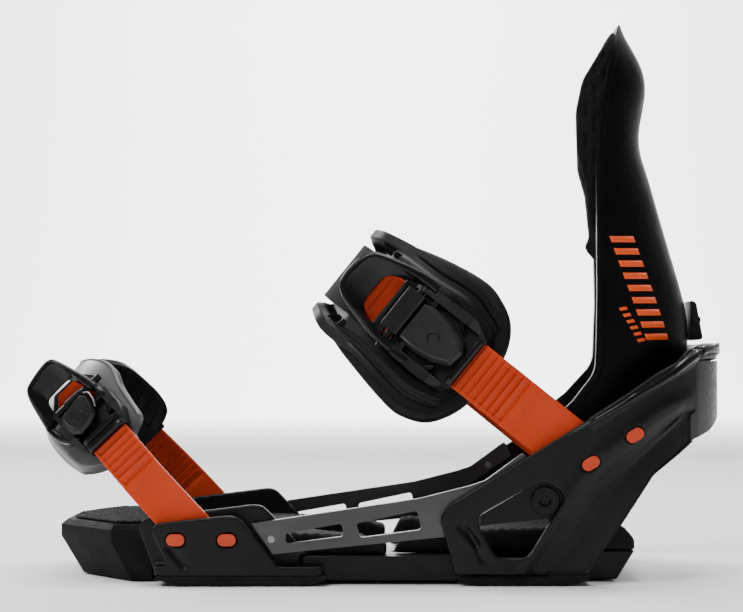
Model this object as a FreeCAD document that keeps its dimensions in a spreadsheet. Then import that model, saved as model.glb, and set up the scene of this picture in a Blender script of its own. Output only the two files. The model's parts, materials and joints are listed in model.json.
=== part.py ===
"""Strap snowboard binding for a left foot, size medium.

Frame: origin at the centre of the mounting disc on the board's surface, +X towards the heel,
+Y towards the inner (medial) side of the foot, +Z up. Lengths are in millimetres.

The side walls are three layers thick. From the inside out: an inner layer that holds the toe
frame's inner walls and the highback's wings, a middle layer that holds the side rails, the heel
base's uprights and the feet of the ladders, and an outer layer that is the toe frame's panels and
the heelcup.
"""

import FreeCAD, Part
import math
import os
from FreeCAD import Placement, Rotation, Vector

X_AXIS, Y_AXIS, Z_AXIS = Vector(1, 0, 0), Vector(0, 1, 0), Vector(0, 0, 1)

doc = FreeCAD.newDocument("binding")
sheet = doc.addObject("Spreadsheet::Sheet", "Sizes")
pieces = []

# Driving dimensions, one cell each: alias, value, what it is.
DRIVING = [
    ("inner_face", 54.0, "half the clear width between the inner walls"),
    ("inner_back", 58.0, "outer side of the inner layer"),
    ("middle_face", 58.0, "inner side of the middle layer"),
    ("middle_back", 62.0, "outer side of the middle layer"),
    ("outer_face", 62.5, "inner side of the outer layer"),
    ("outer_back", 66.0, "half the binding's width at its side walls"),
    ("inner_wall", 4.0, "thickness of the inner layer"),
    ("middle_wall", 4.0, "thickness of the middle layer"),
    ("outer_wall", 3.5, "thickness of the outer layer"),
    ("foam_thick", 4.5, "foam pads under the frame"),
    ("floor_top", 8.5, "top of the toe frame's and heel base's floors"),
    ("floor_thick", 4.0, "thickness of those floors"),
    ("plate_low", 1.5, "underside of the centre plate"),
    ("plate_top", 12.5, "top of the centre plate"),
    ("plate_radius", 52.0, "round middle of the centre plate"),
    ("plate_half", 58.0, "half the width of the centre plate's bars"),
    ("disc_radius", 46.0, "flange of the mounting disc"),
    ("hub_radius", 39.5, "hub of the mounting disc"),
    ("disc_seat", 6.0, "height of the lip that the disc's flange sits on"),
    ("disc_top", 11.0, "top of the mounting disc"),
    ("disc_play", 0.4, "gap round the mounting disc"),
    ("bolt_pitch", 40.0, "board insert pattern"),
    ("bolt_slot", 3.3, "half the width of a mounting slot"),
    ("slot_length", 14.0, "a mounting slot end to end"),
    ("ramp_half", 50.0, "half the width of the toe ramp"),
    ("footbed_half", 53.0, "half the width of the footbed"),
    ("footbed_hole", 40.0, "opening over the mounting disc"),
    ("riser_half", 45.0, "half the width of the heel riser"),
    ("button_long", 8.3, "locking button end to end"),
    ("button_wide", 5.4, "locking button's width"),
    ("button_play", 0.25, "gap round a locking button"),
    ("button_deep", 2.8, "locking button's depth"),
    ("button_proud", 0.8, "how far a button stands out of the wall"),
    ("pin_radius", 3.0, "strap anchor pins"),
    ("pivot_radius", 3.5, "highback pivot pins"),
    ("pin_play", 0.06, "running clearance of the pins"),
    ("strap_angle", 38.9, "ankle strap above the horizontal"),
    ("toe_angle", 46.6, "toe strap above the horizontal"),
    ("ankle_width", 25.0, "ankle ladder's width"),
    ("toe_width", 19.5, "toe ladder's width"),
    ("ladder_thick", 3.5, "ladder's thickness with its teeth"),
    ("ankle_lean", 18.0, "how far the ankle ladder leans in at its buckle"),
    ("toe_lean", 24.0, "how far the toe ladder leans in at its buckle"),
    ("band_width", 31.0, "ankle strap's core band"),
    ("shell_width", 68.0, "ankle strap's moulded shell"),
    ("pad_width", 78.0, "ankle strap's foam pad"),
    ("cap_width", 46.0, "toe cap"),
    ("shell_wall", 3.0, "highback's wall"),
]
for row, (alias, value, note) in enumerate(DRIVING, start=1):
    sheet.set(f"A{row}", note)
    sheet.set(f"B{row}", str(value))
    sheet.setAlias(f"B{row}", alias)
doc.recompute()


def mm(alias):
    """A driving dimension's value."""
    return float(sheet.get(alias))


# Places that more than one piece shares.
ANKLE_PIVOT = (98.3, 54.9)
HIGHBACK_PIVOT = (118.1, 67.5)
TOE_PIVOT = (-76.9, 20.1)
TOE_BUTTONS = (-87.9, -64.9)
TOE_BUTTON_Z = 20.5
CUP_BOLT = (78.1, 37.9)
RIM_ANGLE = 31.5
CUP_CENTRE = 108.0
CUP_REACH = 57.6
CUP_INNER_REACH = 50.4
FAR = 400.0


# ---------------------------------------------------------------- helpers
def rounded(points):
    """Lines and arcs of a closed outline whose points are (x, y) or (x, y, corner radius)."""
    flat = [Vector(p[0], p[1], 0) for p in points]
    radii = [p[2] if len(p) > 2 else 0.0 for p in points]
    count = len(flat)
    entry, leave, corners = [], [], []
    for i, corner in enumerate(flat):
        back = (flat[i - 1] - corner).normalize()
        ahead = (flat[(i + 1) % count] - corner).normalize()
        if radii[i] <= 0:
            entry.append(corner)
            leave.append(corner)
            corners.append(None)
            continue
        half = back.getAngle(ahead) / 2
        reach = radii[i] / math.tan(half)
        middle = (back + ahead).normalize()
        centre = corner + middle * (radii[i] / math.sin(half))
        entry.append(corner + back * reach)
        leave.append(corner + ahead * reach)
        corners.append(Part.Arc(entry[i], centre - middle * radii[i], leave[i]))
    drawn = []
    for i in range(count):
        if corners[i]:
            drawn.append(corners[i])
        drawn.append(Part.LineSegment(leave[i], entry[(i + 1) % count]))
    return drawn


def circle(x, y, radius):
    return [Part.Circle(Vector(x, y, 0), Z_AXIS, radius)]


def stadium(x, y, length, width, angle=0.0):
    """A slot's outline: length end to end, turned by angle in degrees."""
    along = Vector(math.cos(math.radians(angle)), math.sin(math.radians(angle)), 0)
    across = Vector(-along.y, along.x, 0) * (width / 2)
    reach = along * ((length - width) / 2)
    middle = Vector(x, y, 0)
    tip = along * (length / 2)
    a, b = middle + reach + across, middle + reach - across
    c, d = middle - reach - across, middle - reach + across
    return [
        Part.LineSegment(d, a),
        Part.Arc(a, middle + tip, b),
        Part.LineSegment(b, c),
        Part.Arc(c, middle - tip, d),
    ]


def arch(across, rise, foot, left=-1, right=1):
    """Points of an elliptical arch in the (reach, y) plane, from y < 0 over the crest to y > 0."""
    steps = 24
    found = []
    for i in range(steps + 1):
        turn = math.radians(90 * (left + (right - left) * i / steps))
        found.append(Vector(foot + rise * math.cos(turn), across * math.sin(turn), 0))
    return found


def curve(points):
    spline = Part.BSplineCurve()
    spline.interpolate(points)
    return spline


def origin_plane(body, role):
    return next(f for f in body.Origin.OriginFeatures if f.Role == role)


def body_sketch(body, name, geometry):
    """A sketch on the body's own XY plane."""
    sketch = body.newObject("Sketcher::SketchObject", name)
    sketch.AttachmentSupport = (origin_plane(body, "XY_Plane"), [""])
    sketch.MapMode = "FlatFace"
    sketch.addGeometry(geometry, False)
    return sketch


def pad_body(label, geometry, length, middle=False, place=None, pockets=(), keep=True):
    """A body padded from its XY plane. length is a cell or an expression; each pocket is
    (geometry, depth expression or None for all the way)."""
    body = doc.addObject("PartDesign::Body", label)
    body.Label = label
    pad = body.newObject("PartDesign::Pad", label + "_pad")
    pad.Profile = body_sketch(body, label + "_outline", geometry)
    pad.setExpression("Length", length)
    pad.Midplane = middle
    for number, (shape, depth) in enumerate(pockets):
        doc.recompute()
        before = body.Shape.Volume
        pocket = body.newObject("PartDesign::Pocket", f"{label}_pocket{number}")
        pocket.Profile = body_sketch(body, f"{label}_cut{number}", shape)
        pocket.Reversed = not middle
        pocket.Midplane = middle
        if depth:
            pocket.setExpression("Length", depth)
        else:
            pocket.Type = "ThroughAll"
        doc.recompute()
        if body.Shape.Volume > before - 0.01:
            raise ValueError(f"{label}: pocket {number} cuts nothing")
    if place:
        body.Placement = place
    if keep:
        pieces.append(body)
    return body


def prism(name, geometry, length, place=None, middle=True):
    """A loose extrusion of a sketch along its own normal, for use in booleans."""
    sketch = doc.addObject("Sketcher::SketchObject", name + "_outline")
    sketch.addGeometry(geometry, False)
    made = doc.addObject("Part::Extrusion", name)
    made.Base = sketch
    made.DirMode = "Normal"
    made.Solid = True
    made.Symmetric = middle
    if isinstance(length, str):
        made.setExpression("LengthFwd", length)
    else:
        made.LengthFwd = length
    if place:
        made.Placement = place
    return made


def cylinder(name, radius, height, place):
    made = doc.addObject("Part::Cylinder", name)
    for prop, value in (("Radius", radius), ("Height", height)):
        if isinstance(value, str):
            made.setExpression(prop, value)
        else:
            setattr(made, prop, value)
    made.Placement = place
    return made


def box(name, low, high):
    made = doc.addObject("Part::Box", name)
    made.Length, made.Width, made.Height = (h - l for l, h in zip(low, high))
    made.Placement = Placement(Vector(*low), Rotation())
    return made


def join(kind, name, base, *tools):
    """Part::Fuse, Part::Cut or Part::Common of base with each tool in turn."""
    for number, tool in enumerate(tools):
        made = doc.addObject("Part::" + kind,
                             name if number == len(tools) - 1 else f"{name}_{kind}{number}")
        made.Base, made.Tool = base, tool
        base = made
    return base


def piece(made, label, place=None):
    """Names a finished object as a sub-part."""
    made.Label = label
    if place:
        made.Placement = place
    pieces.append(made)
    return made


def group(label, members):
    """Several separate solids as one sub-part."""
    made = doc.addObject("Part::Compound", label)
    made.Links = members
    return piece(made, label)


def mirrored(source, label, keep=True):
    """The same piece on the other side of the binding."""
    made = doc.addObject("Part::Mirroring", label)
    made.Source = source
    made.Normal = Y_AXIS
    made.Label = label
    if keep:
        pieces.append(made)
    return made


def side(y):
    """Puts an XY sketch in the XZ plane at y; its pad grows towards -Y."""
    return Placement(Vector(0, y, 0), Rotation(X_AXIS, 90))


def y_pin(name, radius, low_y, high_y, x, z):
    return cylinder(name, radius, high_y - low_y, Placement(Vector(x, high_y, z), Rotation(X_AXIS, 90)))


def level(z):
    return Placement(Vector(0, 0, z), Rotation())


# ---------------------------------------------------------------- base
def centre_plate():
    """Holds the mounting disc: a round plate between two side bars, with tongues to both ends."""
    seat_radius = mm("disc_radius") + mm("disc_play")
    hub_hole = mm("hub_radius") + mm("disc_play")
    half = mm("plate_half")
    bars = rounded([(-32, -half, 2), (40, -half, 2), (40, half, 2), (-32, half, 2)])
    body = prism("plate_bars", bars, "Sizes.plate_top - Sizes.plate_low", level(mm("plate_low")), False)
    wheel = cylinder("plate_round", "Sizes.plate_radius", "Sizes.plate_top - Sizes.plate_low",
                     level(mm("plate_low")))
    tongue = box("plate_tongue", (-68, -30, mm("floor_top")), (74, 30, mm("plate_top")))
    solid = join("Fuse", "plate_solid", body, wheel, tongue)
    hub = cylinder("plate_hub_hole", hub_hole, 40, level(-10))
    seat = cylinder("plate_seat", seat_radius, 40, level(mm("disc_seat")))
    holes = [cylinder(f"plate_screw_hole{i}", 2.1, 40, Placement(Vector(x, y, 0), Rotation()))
             for i, (x, y) in enumerate(SCREWS)]
    piece(join("Cut", "centre_plate", solid, hub, seat, *holes), "centre_plate")


SCREWS = [(x, y) for x in (-60.5, 66.5) for y in (-18, 18)]
SCREW_HEAD = 3.6


def mounting_disc():
    """Flanged disc with four slots on the board's insert pattern."""
    hub = cylinder("disc_hub", "Sizes.hub_radius", "Sizes.disc_seat + 1", level(0))
    flange = cylinder("disc_flange", "Sizes.disc_radius", "Sizes.disc_top - Sizes.disc_seat - 0.3",
                      level(mm("disc_seat") + 0.3))
    solid = join("Fuse", "disc_solid", hub, flange)
    pitch = mm("bolt_pitch") / 2
    width, length = 2 * mm("bolt_slot"), mm("slot_length")
    tools = []
    for i, (x, y) in enumerate([(-pitch, -pitch), (pitch, -pitch), (pitch, pitch), (-pitch, pitch)]):
        tools.append(prism(f"disc_slot{i}", stadium(x, y, length, width), 40))
        recess = stadium(x, y, length + 7, width + 7)
        tools.append(prism(f"disc_recess{i}", recess, 10, level(mm("disc_top") - 4), False))
    piece(join("Cut", "mounting_disc", solid, *tools), "mounting_disc")


def foam_pad(label, front, back, half):
    """Foam under one end of the frame, cut round for the centre plate and bevelled at its ends."""
    profile = rounded([(front, 4.5), (front, 2.7), (front + 9, 0), (back - 9, 0), (back, 2.0), (back, 4.5)])
    slab = prism(label + "_slab", profile, 2 * half, side(0))
    clear = cylinder(label + "_clear", "Sizes.plate_radius + 0.4", 20, level(-5))
    bars = box(label + "_bars", (-32.4, -mm("plate_half") - 0.4, -5), (40.4, mm("plate_half") + 0.4, 20))
    piece(join("Cut", label, slab, clear, bars), label)


def rail_outline():
    """Side rail from the toe frame's slot to the heelcup's top edge."""
    return [(-54, 27.6), (-44.5, 13.8), (32.8, 21.6), (46, 23.2, 2), (47.5, 35.5, 3), (72, 52.3, 1),
            (68.7, 59.7, 1.5), (51.2, 46.9, 4), (44.4, 44.6, 6), (21.8, 38.9, 30)]


RAIL_WINDOWS = [
    [(-38.5, 18.6, 1.5), (-12.5, 21.8, 1.5), (-13.5, 27.6, 1.5), (-38.6, 23.2, 1.5)],
    [(-5.0, 21.2, 1.5), (22.5, 24.8, 1.5), (20.5, 33.4, 1.5), (-7.0, 27.6, 1.5)],
]


RAIL_SCREWS = [(-45.2, 20.4), (60.0, 47.6)]


def rail_screws():
    """Short screws that fix each rail to the toe frame's inner wall and to the heelcup."""
    made = []
    for i, (x, z) in enumerate(RAIL_SCREWS):
        for j, sign in enumerate((-1, 1)):
            low, high = (55.0, 62.0) if x < 0 else (58.0, 64.4)
            made.append(y_pin(f"rail_screw{i}{j}", 1.8, *sorted((sign * low, sign * high)), x, z))
    group("side_rail_screws", made)


def rail_screw_holes(prefix, which):
    """Tools that drill the rails' screw holes into the piece they are fixed to."""
    x, z = RAIL_SCREWS[which]
    low, high = (55.0, 62.0) if which == 0 else (58.0, 64.4)
    return [y_pin(f"{prefix}_rail_hole{j}", 1.8, *sorted((sign * low, sign * high)), x, z)
            for j, sign in enumerate((-1, 1))]


def side_rails():
    outline = rounded(rail_outline())
    windows = [(rounded(w), None) for w in RAIL_WINDOWS]
    windows += [(circle(x, z, 1.8), None) for x, z in RAIL_SCREWS]
    rail = pad_body("outer_side_rail", outline, "Sizes.middle_wall", place=side(-mm("middle_face")),
                    pockets=windows)
    mirrored(rail, "inner_side_rail")


# ---------------------------------------------------------------- toe end
TOE_PANEL = [(-100.5, 27.6, 4), (-60, 32.0, 9), (-38.7, 4.5), (-89.5, 4.5, 2)]
TOE_INNER = [(-107, 29.2, 5), (-50, 36.3, 8), (-24, 8.5), (-24, 4.5), (-98, 4.5, 2)]


def button_holes(name, x, z, angle, y_middle):
    """Clearance prism for one locking button through an outer wall."""
    play = 2 * mm("button_play")
    shape = stadium(x, z, mm("button_long") + play, mm("button_wide") + play, angle)
    return prism(name, shape, 12, side(y_middle))


def toe_frame():
    """Floor with a double wall on each side; the ladders' feet and the rails slot in between."""
    floor_shape = rounded([(-98, -66, 3), (-22, -66, 1), (-22, 66, 1), (-98, 66, 3)])
    floor = prism("toe_floor", floor_shape, "Sizes.floor_thick", level(mm("foam_thick")), False)
    walls = []
    for name, outline, face, thick in (("panel", TOE_PANEL, "outer_face", "outer_wall"),
                                       ("inner", TOE_INNER, "inner_face", "inner_wall")):
        near = prism(f"toe_{name}_near", rounded(outline), f"Sizes.{thick}", side(-mm(face)), False)
        far = prism(f"toe_{name}_far", rounded(outline), f"Sizes.{thick}", side(mm(face) + mm(thick)),
                    False)
        walls += [near, far]
    nose = rounded([(-97.2, 21.5), (-93.9, 21.5), (-86.0, 4.6), (-89.2, 4.6)])
    closers = [prism(f"toe_closer{i}", nose, mm("outer_face") - mm("inner_back") + 1, side(y))
               for i, y in enumerate((-60.0, 60.0))]
    solid = join("Fuse", "toe_solid", floor, *walls, *closers)
    clear = cylinder("toe_clear", "Sizes.plate_radius + 0.4", 40, level(-5))
    bars = box("toe_bars", (-32.4, -mm("plate_half") - 0.4, -5), (0, mm("plate_half") + 0.4, 12.9))
    holes = []
    for i, x in enumerate(TOE_BUTTONS):
        for j, y in enumerate((-64.25, 64.25)):
            holes.append(button_holes(f"toe_button_hole{i}{j}", x, TOE_BUTTON_Z, 0, y))
    screws = [cylinder(f"toe_screw_hole{i}", 2.1, 40, Placement(Vector(x, y, 0), Rotation()))
              for i, (x, y) in enumerate(SCREWS[:2])]
    screws += rail_screw_holes("toe", 0)
    piece(join("Cut", "toe_frame", solid, clear, bars, *holes, *screws), "toe_frame")


def toe_ramp():
    """Sliding nose: a faceted block, further forward on the inner side, with a tongue behind it."""
    half = mm("ramp_half")
    widest = [(-100.6, -half), (-119, -half), (-147.5, -15), (-147.5, 15), (-129.6, half), (-100.6, half)]
    low = [(-100.6, -46.5), (-109.8, -46.5), (-137, -14), (-137, 14), (-119, 46.5), (-100.6, 46.5)]
    high = [(-100.6, -48), (-118, -48), (-144.5, -14), (-144.5, 14), (-128.6, 48), (-100.6, 48)]
    levels = [(low, 0.3), (widest, 18.0), (widest, 23.5), (high, 26.0)]
    wires = [Part.makePolygon([Vector(x, y, z) for x, y in ring + ring[:1]]) for ring, z in levels]
    block = Part.makeLoft(wires, True, True)
    tongue = Part.makeBox(17, 2 * half, 11, Vector(-101, -half, mm("floor_top") + 0.3))
    solid = block.fuse(tongue).removeSplitter()
    made = doc.addObject("Part::Feature", "toe_ramp")
    made.Shape = solid
    piece(made, "toe_ramp")
    top = [(-101.5, -44, 3), (-116.5, -44, 3), (-141.5, -12.5, 3), (-141.5, 12.5, 3), (-126.5, 44, 3),
           (-101.5, 44, 3)]
    pad_body("toe_ramp_pad", rounded(top), "1.4 mm", place=level(26.0))


def head_rooms(prefix, spots):
    """Pockets in the underside of a footbed pad for the heads of the frame screws."""
    return [cylinder(f"footbed_{prefix}_room{i}", SCREW_HEAD + 0.4, mm("plate_top") + 1.8,
                     Placement(Vector(x, y, 0), Rotation()))
            for i, (x, y) in enumerate(spots)]


def footbed():
    """Two foam pads that leave the mounting disc open between them."""
    half = 2 * mm("footbed_half")
    fore = rounded([(-83.6, 8.8, 1), (-68.4, 8.8), (-68.4, 12.8), (7, 12.8), (7, 17.5, 1), (-6, 21.4, 4),
                    (-83.6, 24.4, 2)])
    slab = prism("footbed_fore_slab", fore, half, side(0))
    hole = cylinder("footbed_fore_hole", "Sizes.footbed_hole", 60, level(-5))
    piece(join("Cut", "footbed_toe_pad", slab, hole, *head_rooms("fore", SCREWS[:2])), "footbed_toe_pad")
    heel = rounded([(10, 12.8), (98.4, 12.8), (98.4, 14.2), (121, 14.2), (121, 19, 1), (117.3, 23.4, 1),
                    (112, 25.4, 2),
                    (60, 23.6, 30), (14.5, 22, 3)])
    back = prism("footbed_heel_slab", heel, 2 * mm("riser_half"), side(0))
    hole = cylinder("footbed_heel_hole", "Sizes.footbed_hole", 60, level(-5))
    piece(join("Cut", "footbed_heel_pad", back, hole, *head_rooms("heel", SCREWS[2:])), "footbed_heel_pad")
    low = rounded([(98.4, 0.3, 1), (112.7, 0.6, 1), (121, 13.9), (98.4, 13.9)])
    pad_body("heel_riser", low, "2 * Sizes.riser_half", middle=True, place=side(0))


# ---------------------------------------------------------------- heel end
ARM = [(49, 26.6), (79.5, 30.0), (80, 4.5), (97, 4.5), (106, 20, 3), (104, 32, 4), (88, 44, 5),
       (79, 47.4, 6), (70, 43.6, 4), (49, 31.4, 2)]
CUP_SIDE = [(30.5, 30.5, 6), (35.5, 36.5, 5), (129.4, 94.2, 60), (152, 105.0, 20), (171, 109.4), (171, 82),
            (158, 71, 12), (127.5, 49.4, 10), (97.6, 5.2, 1.5), (37.6, 5.2, 1.5)]
CUP_WINDOW = [(48.0, 31.4, 3), (68.5, 43.0, 3), (78.5, 47.0, 4.5), (87.6, 40.5, 4.5), (70.0, 12.5, 5),
              (56.0, 12.5, 5), (48.8, 25.2, 3)]


def heel_base():
    """Floor under the heel with an upright on each side for the heelcup's bolt."""
    floor_shape = rounded([(42, -62), (97, -62, 3), (97, 62, 3), (42, 62)])
    floor = prism("heel_floor", floor_shape, "Sizes.floor_thick", level(mm("foam_thick")), False)
    reach = "Sizes.outer_face - Sizes.middle_face"
    near = prism("heel_arm_near", rounded(ARM), reach, side(-mm("middle_face")), False)
    far = prism("heel_arm_far", rounded(ARM), reach, side(mm("outer_face")), False)
    solid = join("Fuse", "heel_solid", floor, near, far)
    clear = cylinder("heel_clear", "Sizes.plate_radius + 0.4", 40, level(-5))
    bolt = y_pin("heel_bolt_hole", 4.1, -80, 80, *CUP_BOLT)
    screws = [cylinder(f"heel_screw_hole{i}", 2.1, 40, Placement(Vector(x, y, 0), Rotation()))
              for i, (x, y) in enumerate(SCREWS[2:])]
    piece(join("Cut", "heel_base", solid, clear, bolt, *screws), "heel_base")


def cup_ring(name, reach, half, inner_reach, inner_half, height=140):
    """Plan of the heelcup: two straight arms and half an ellipse round the heel, as a tall ring."""
    def edge(long, wide):
        along = [Vector(CUP_CENTRE + long * math.cos(t), wide * math.sin(t), 0)
                 for t in (math.radians(90 - 7.5 * i) for i in range(25))]
        return along
    outer, inner = edge(reach, half), edge(inner_reach, inner_half)[::-1]
    front = 20.0
    a, b = Vector(front, half, 0), Vector(front, -half, 0)
    c, d = Vector(front, -inner_half, 0), Vector(front, inner_half, 0)
    drawn = [Part.LineSegment(a, outer[0]), curve(outer), Part.LineSegment(outer[-1], b),
             Part.LineSegment(b, c),
             Part.LineSegment(c, inner[0]), curve(inner), Part.LineSegment(inner[-1],
                     d), Part.LineSegment(d, a)]
    return prism(name, drawn, height, level(-5), False)


def cup_recess(number, depth, shift):
    """Tool that sinks the lower back of both side arms; shift moves its upper edge down."""
    outline = rounded([(75 + shift, -5), (82 + shift, 15.0), (99.4 + shift, 43.6 - shift, 14),
                       (143 + shift, 81.0 - shift, 3), (150, 76 - shift, 5), (150, -5)])
    half = mm("outer_back")
    room = cup_ring(f"cup_recess_room{number}", CUP_REACH + 8, half + 8, CUP_REACH - depth, half - depth)
    return join("Common", f"cup_recess{number}", room, prism(f"cup_recess_side{number}", outline, FAR,
                                                             side(0)))


def heelcup():
    """Moulded cup: side arms with a window, a hoop round the heel and a bead along its rim."""
    half, inner = mm("outer_back"), mm("outer_face")
    shell = cup_ring("cup_shell", CUP_REACH, half, CUP_INNER_REACH, inner)
    wall = join("Common", "cup_wall", shell, prism("cup_profile", rounded(CUP_SIDE), FAR, side(0)))
    thick = cup_ring("cup_bead_ring", CUP_REACH + 1.6, half + 1.0, CUP_INNER_REACH - 0.6, inner - 0.3)
    strip = [(98.5, 70.9, 2), (129.4, 90.2, 60), (152, 101.6, 20), (172, 105.8), (172, 110.9),
             (152, 106.8, 20),
             (129.4, 95.8, 60), (96.6, 74.5, 1.5)]
    bead = join("Common", "cup_bead", thick, prism("cup_bead_profile", rounded(strip), FAR, side(0)))
    solid = join("Fuse", "cup_solid", wall, bead)
    window = prism("cup_window", rounded(CUP_WINDOW), FAR, side(0))
    recesses = [cup_recess(i, depth, shift) for i, (depth, shift) in enumerate(((0.8, 0.0), (1.6, 2.0)))]
    groove_shape = rounded([(41.2, 26.4, 1), (44.8, 26.4, 1), (52.6, 9.6, 1), (49.0, 9.6, 1)])
    grooves = [prism(f"cup_groove{i}", groove_shape, 1.6, side(y)) for i, y in enumerate((-66.0, 66.0))]
    bridge = cup_ring("cup_bridge_room", CUP_REACH + 8, half + 8, CUP_REACH - 3.6, half - 3.6)
    room = box("cup_bridge_side", (138, -46.3, 64.1), (175, 46.3, 101.3))
    pocket = join("Common", "cup_bridge_pocket", bridge, room)
    holes = [button_holes(f"cup_hole{i}{j}", x, z, RIM_ANGLE, y)
             for i, (x, z) in enumerate((ANKLE_PIVOT, HIGHBACK_PIVOT)) for j, y in enumerate((-64.25,
                     64.25))]
    holes += rail_screw_holes("cup", 1) + bridge_screw_shanks("cup_bridge_hole")
    holes.append(y_pin("cup_pin_bore", "Sizes.pivot_radius", -inner, inner, *HIGHBACK_PIVOT))
    piece(join("Cut", "heelcup", solid, window, *recesses, *grooves, pocket, *holes), "heelcup")


def bridge_screw_shanks(prefix):
    return [cylinder(f"{prefix}{i}", 1.75, 8.0, Placement(Vector(154.5, y, 90), Rotation(Y_AXIS, 90)))
            for i, y in enumerate((-22, 22))]


BRIDGE_SIDE = [(138, 101), (170, 101), (164, 90), (166.5, 79, 2), (164, 74, 2), (157, 68.6, 3),
               (146, 64.4), (138, 64.4)]


def heel_bridge():
    """Cover set into the back of the hoop."""
    ring = cup_ring("bridge_ring", CUP_REACH + 0.4, mm("outer_back") + 0.4, CUP_REACH - 3.2,
                    mm("outer_back") - 3.2)
    profile = prism("bridge_profile", rounded(BRIDGE_SIDE), 92, side(0))
    solid = join("Common", "bridge_solid", ring, profile)
    piece(join("Cut", "heel_bridge", solid, *bridge_screw_shanks("bridge_hole")), "heel_bridge")


# ---------------------------------------------------------------- highback
# Section heights with the spine's x, the wings' front x and half the width there.
HIGHBACK_LEVELS = [(44, 147.8, 84.0, 56.4), (64, 149.4, 87.0, 56.8), (84, 150.8, 92.0, 57.0),
                   (104, 151.8, 99.0, 57.0), (124, 151.2, 104.0, 56.0), (144, 146.0, 105.0, 54.0),
                   (164, 140.0, 104.0, 52.6), (184, 134.2, 103.0, 51.2), (208, 128.6, 102.7, 49.4),
                   (228, 131.6, 103.5, 47.7), (246, 127.2, 104.8, 45.2), (266, 121.2, 106.0, 42.0)]


def highback_section(spine, front, half, z, inset):
    """Half-ellipse across the back at one height, closed a little in front of the shell."""
    start = front - 6 - inset
    points = []
    for i in range(13):
        turn = math.radians(-90 + 15 * i)
        points.append(Vector(start + (spine - start - inset) * math.cos(turn),
                             (half - inset) * math.sin(turn), z))
    return points


def highback_skin(inset):
    """Solid bounded by the shell's outer surface moved inwards by inset."""
    rings = []
    for z, spine, front, half in HIGHBACK_LEVELS:
        line = highback_section(spine, front, half, z, inset)
        back = curve(line).toShape()
        close = Part.makeLine(line[-1], line[0])
        rings.append(Part.Wire([back, close]))
    return Part.makeLoft(rings, True, False)


HIGHBACK_SIDE = {
    "outer": [(84, 76, 3), (91.0, 82.5, 10), (101.5, 96, 14), (102.4, 130, 40), (102.8, 190, 60),
              (104.6, 219, 20), (110.0, 244, 12), (116.5, 260.6, 4)],
    "inner": [(88, 76, 3), (99.0, 84.5, 10), (113.0, 100, 14), (114.0, 130, 40), (112.0, 190, 40),
              (110.0, 228, 14), (115.5, 260.6, 4)],
}
HIGHBACK_TAIL = [(126, 260.6, 3), (140, 222, 4), (137.0, 205, 10), (162.0, 128, 4), (162, 110.0, 1),
                 (150, 106.0, 8), (126, 89.0, 8), (130, 66, 9), (118, 55.5, 11), (106.5, 61.5, 8),
                 (92, 68.5, 5)]
HIGHBACK_REAR = [(-60, 50), (-60, 160, 40), (-49, 215, 30), (-41, 256.5, 12), (-14, 260.4, 12),
                 (14, 260.4, 12), (41, 256.5, 12), (49, 215, 30), (60, 160, 40), (60, 50)]


def highback_pad_outline(back):
    """Side view of the lining; back moves its front edge towards the heel."""
    return [(107, 158, 4), (100.6 + back, 163, 6), (98.4 + back, 184, 12), (94.7 + back, 197, 14),
            (94.3 + back, 216, 16), (97.6 + back, 231, 20), (113.0, 256.0, 3), (135, 252),
            (135, 150), (114, 150, 6)]


FROM_BEHIND = Rotation(Y_AXIS, Z_AXIS, X_AXIS, "ZXY")


def outline_face(points, place):
    """Flat face inside an outline."""
    face = Part.Face(Part.Wire(Part.__sortEdges__([line.toShape() for line in rounded(points)])))
    face.Placement = place
    return face


def highback():
    """Curved shell that follows the calf, with a wing on each side down to its pivot."""
    skin = highback_skin(0.0).cut(highback_skin(mm("shell_wall")))
    rear = outline_face(HIGHBACK_REAR, Placement(Vector(), FROM_BEHIND))
    skin = skin.common(rear.extrude(Vector(300, 0, 0)))
    near, far = [skin.common(outline_face(HIGHBACK_SIDE[name] + HIGHBACK_TAIL,
                                          side(y)).extrude(Vector(0, -100, 0)))
                 for name, y in (("outer", 0), ("inner", 100))]
    solid = near.fuse(far).removeSplitter()
    start = Vector(HIGHBACK_PIVOT[0], -100, HIGHBACK_PIVOT[1])
    bore = Part.makeCylinder(mm("pivot_radius") + mm("pin_play"), 200, start, Y_AXIS)
    solid = solid.cut(bore)
    keep = max(solid.Solids, key=lambda s: s.Volume)
    if keep.Volume > 1.3e5:
        raise ValueError("the highback is not hollow")
    made = doc.addObject("Part::Feature", "highback_shell")
    made.Shape = keep
    piece(made, "highback_shell")
    lining = highback_skin(mm("shell_wall") + 0.3).cut(highback_skin(mm("shell_wall") + 7.5))
    near = lining.common(outline_face(highback_pad_outline(0), side(0)).extrude(Vector(0, -40, 0)))
    far = lining.common(outline_face(highback_pad_outline(9), side(40)).extrude(Vector(0, -40, 0)))
    lining = max(near.fuse(far).removeSplitter().Solids, key=lambda s: s.Volume)
    if lining.Volume > 9e4:
        raise ValueError("the lining is not a sheet")
    made = doc.addObject("Part::Feature", "highback_pad")
    made.Shape = lining
    piece(made, "highback_pad")


def lean_adjuster():
    """Block that slides on the spine and rests on the heelcup's rim."""
    outline = rounded([(152.4, 111.2, 1), (158.6, 110.9, 1.5), (155.2, 129.0, 2), (152.4, 130.0, 0.6)])
    block = pad_body("lean_block", outline, "22 mm", middle=True, place=side(0),
                     pockets=[(circle(154.5, 120.5, 1.3), None)])
    screw = y_pin("lean_screw_shank", 1.25, -11, 11, 154.5, 120.5)
    head = y_pin("lean_screw_head", 2.3, -12.4, -11.0, 154.9, 120.5)
    nut = y_pin("lean_screw_nut", 2.3, 11.0, 12.4, 154.9, 120.5)
    piece(join("Fuse", "lean_screw", screw, head, nut), "lean_screw")


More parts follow.
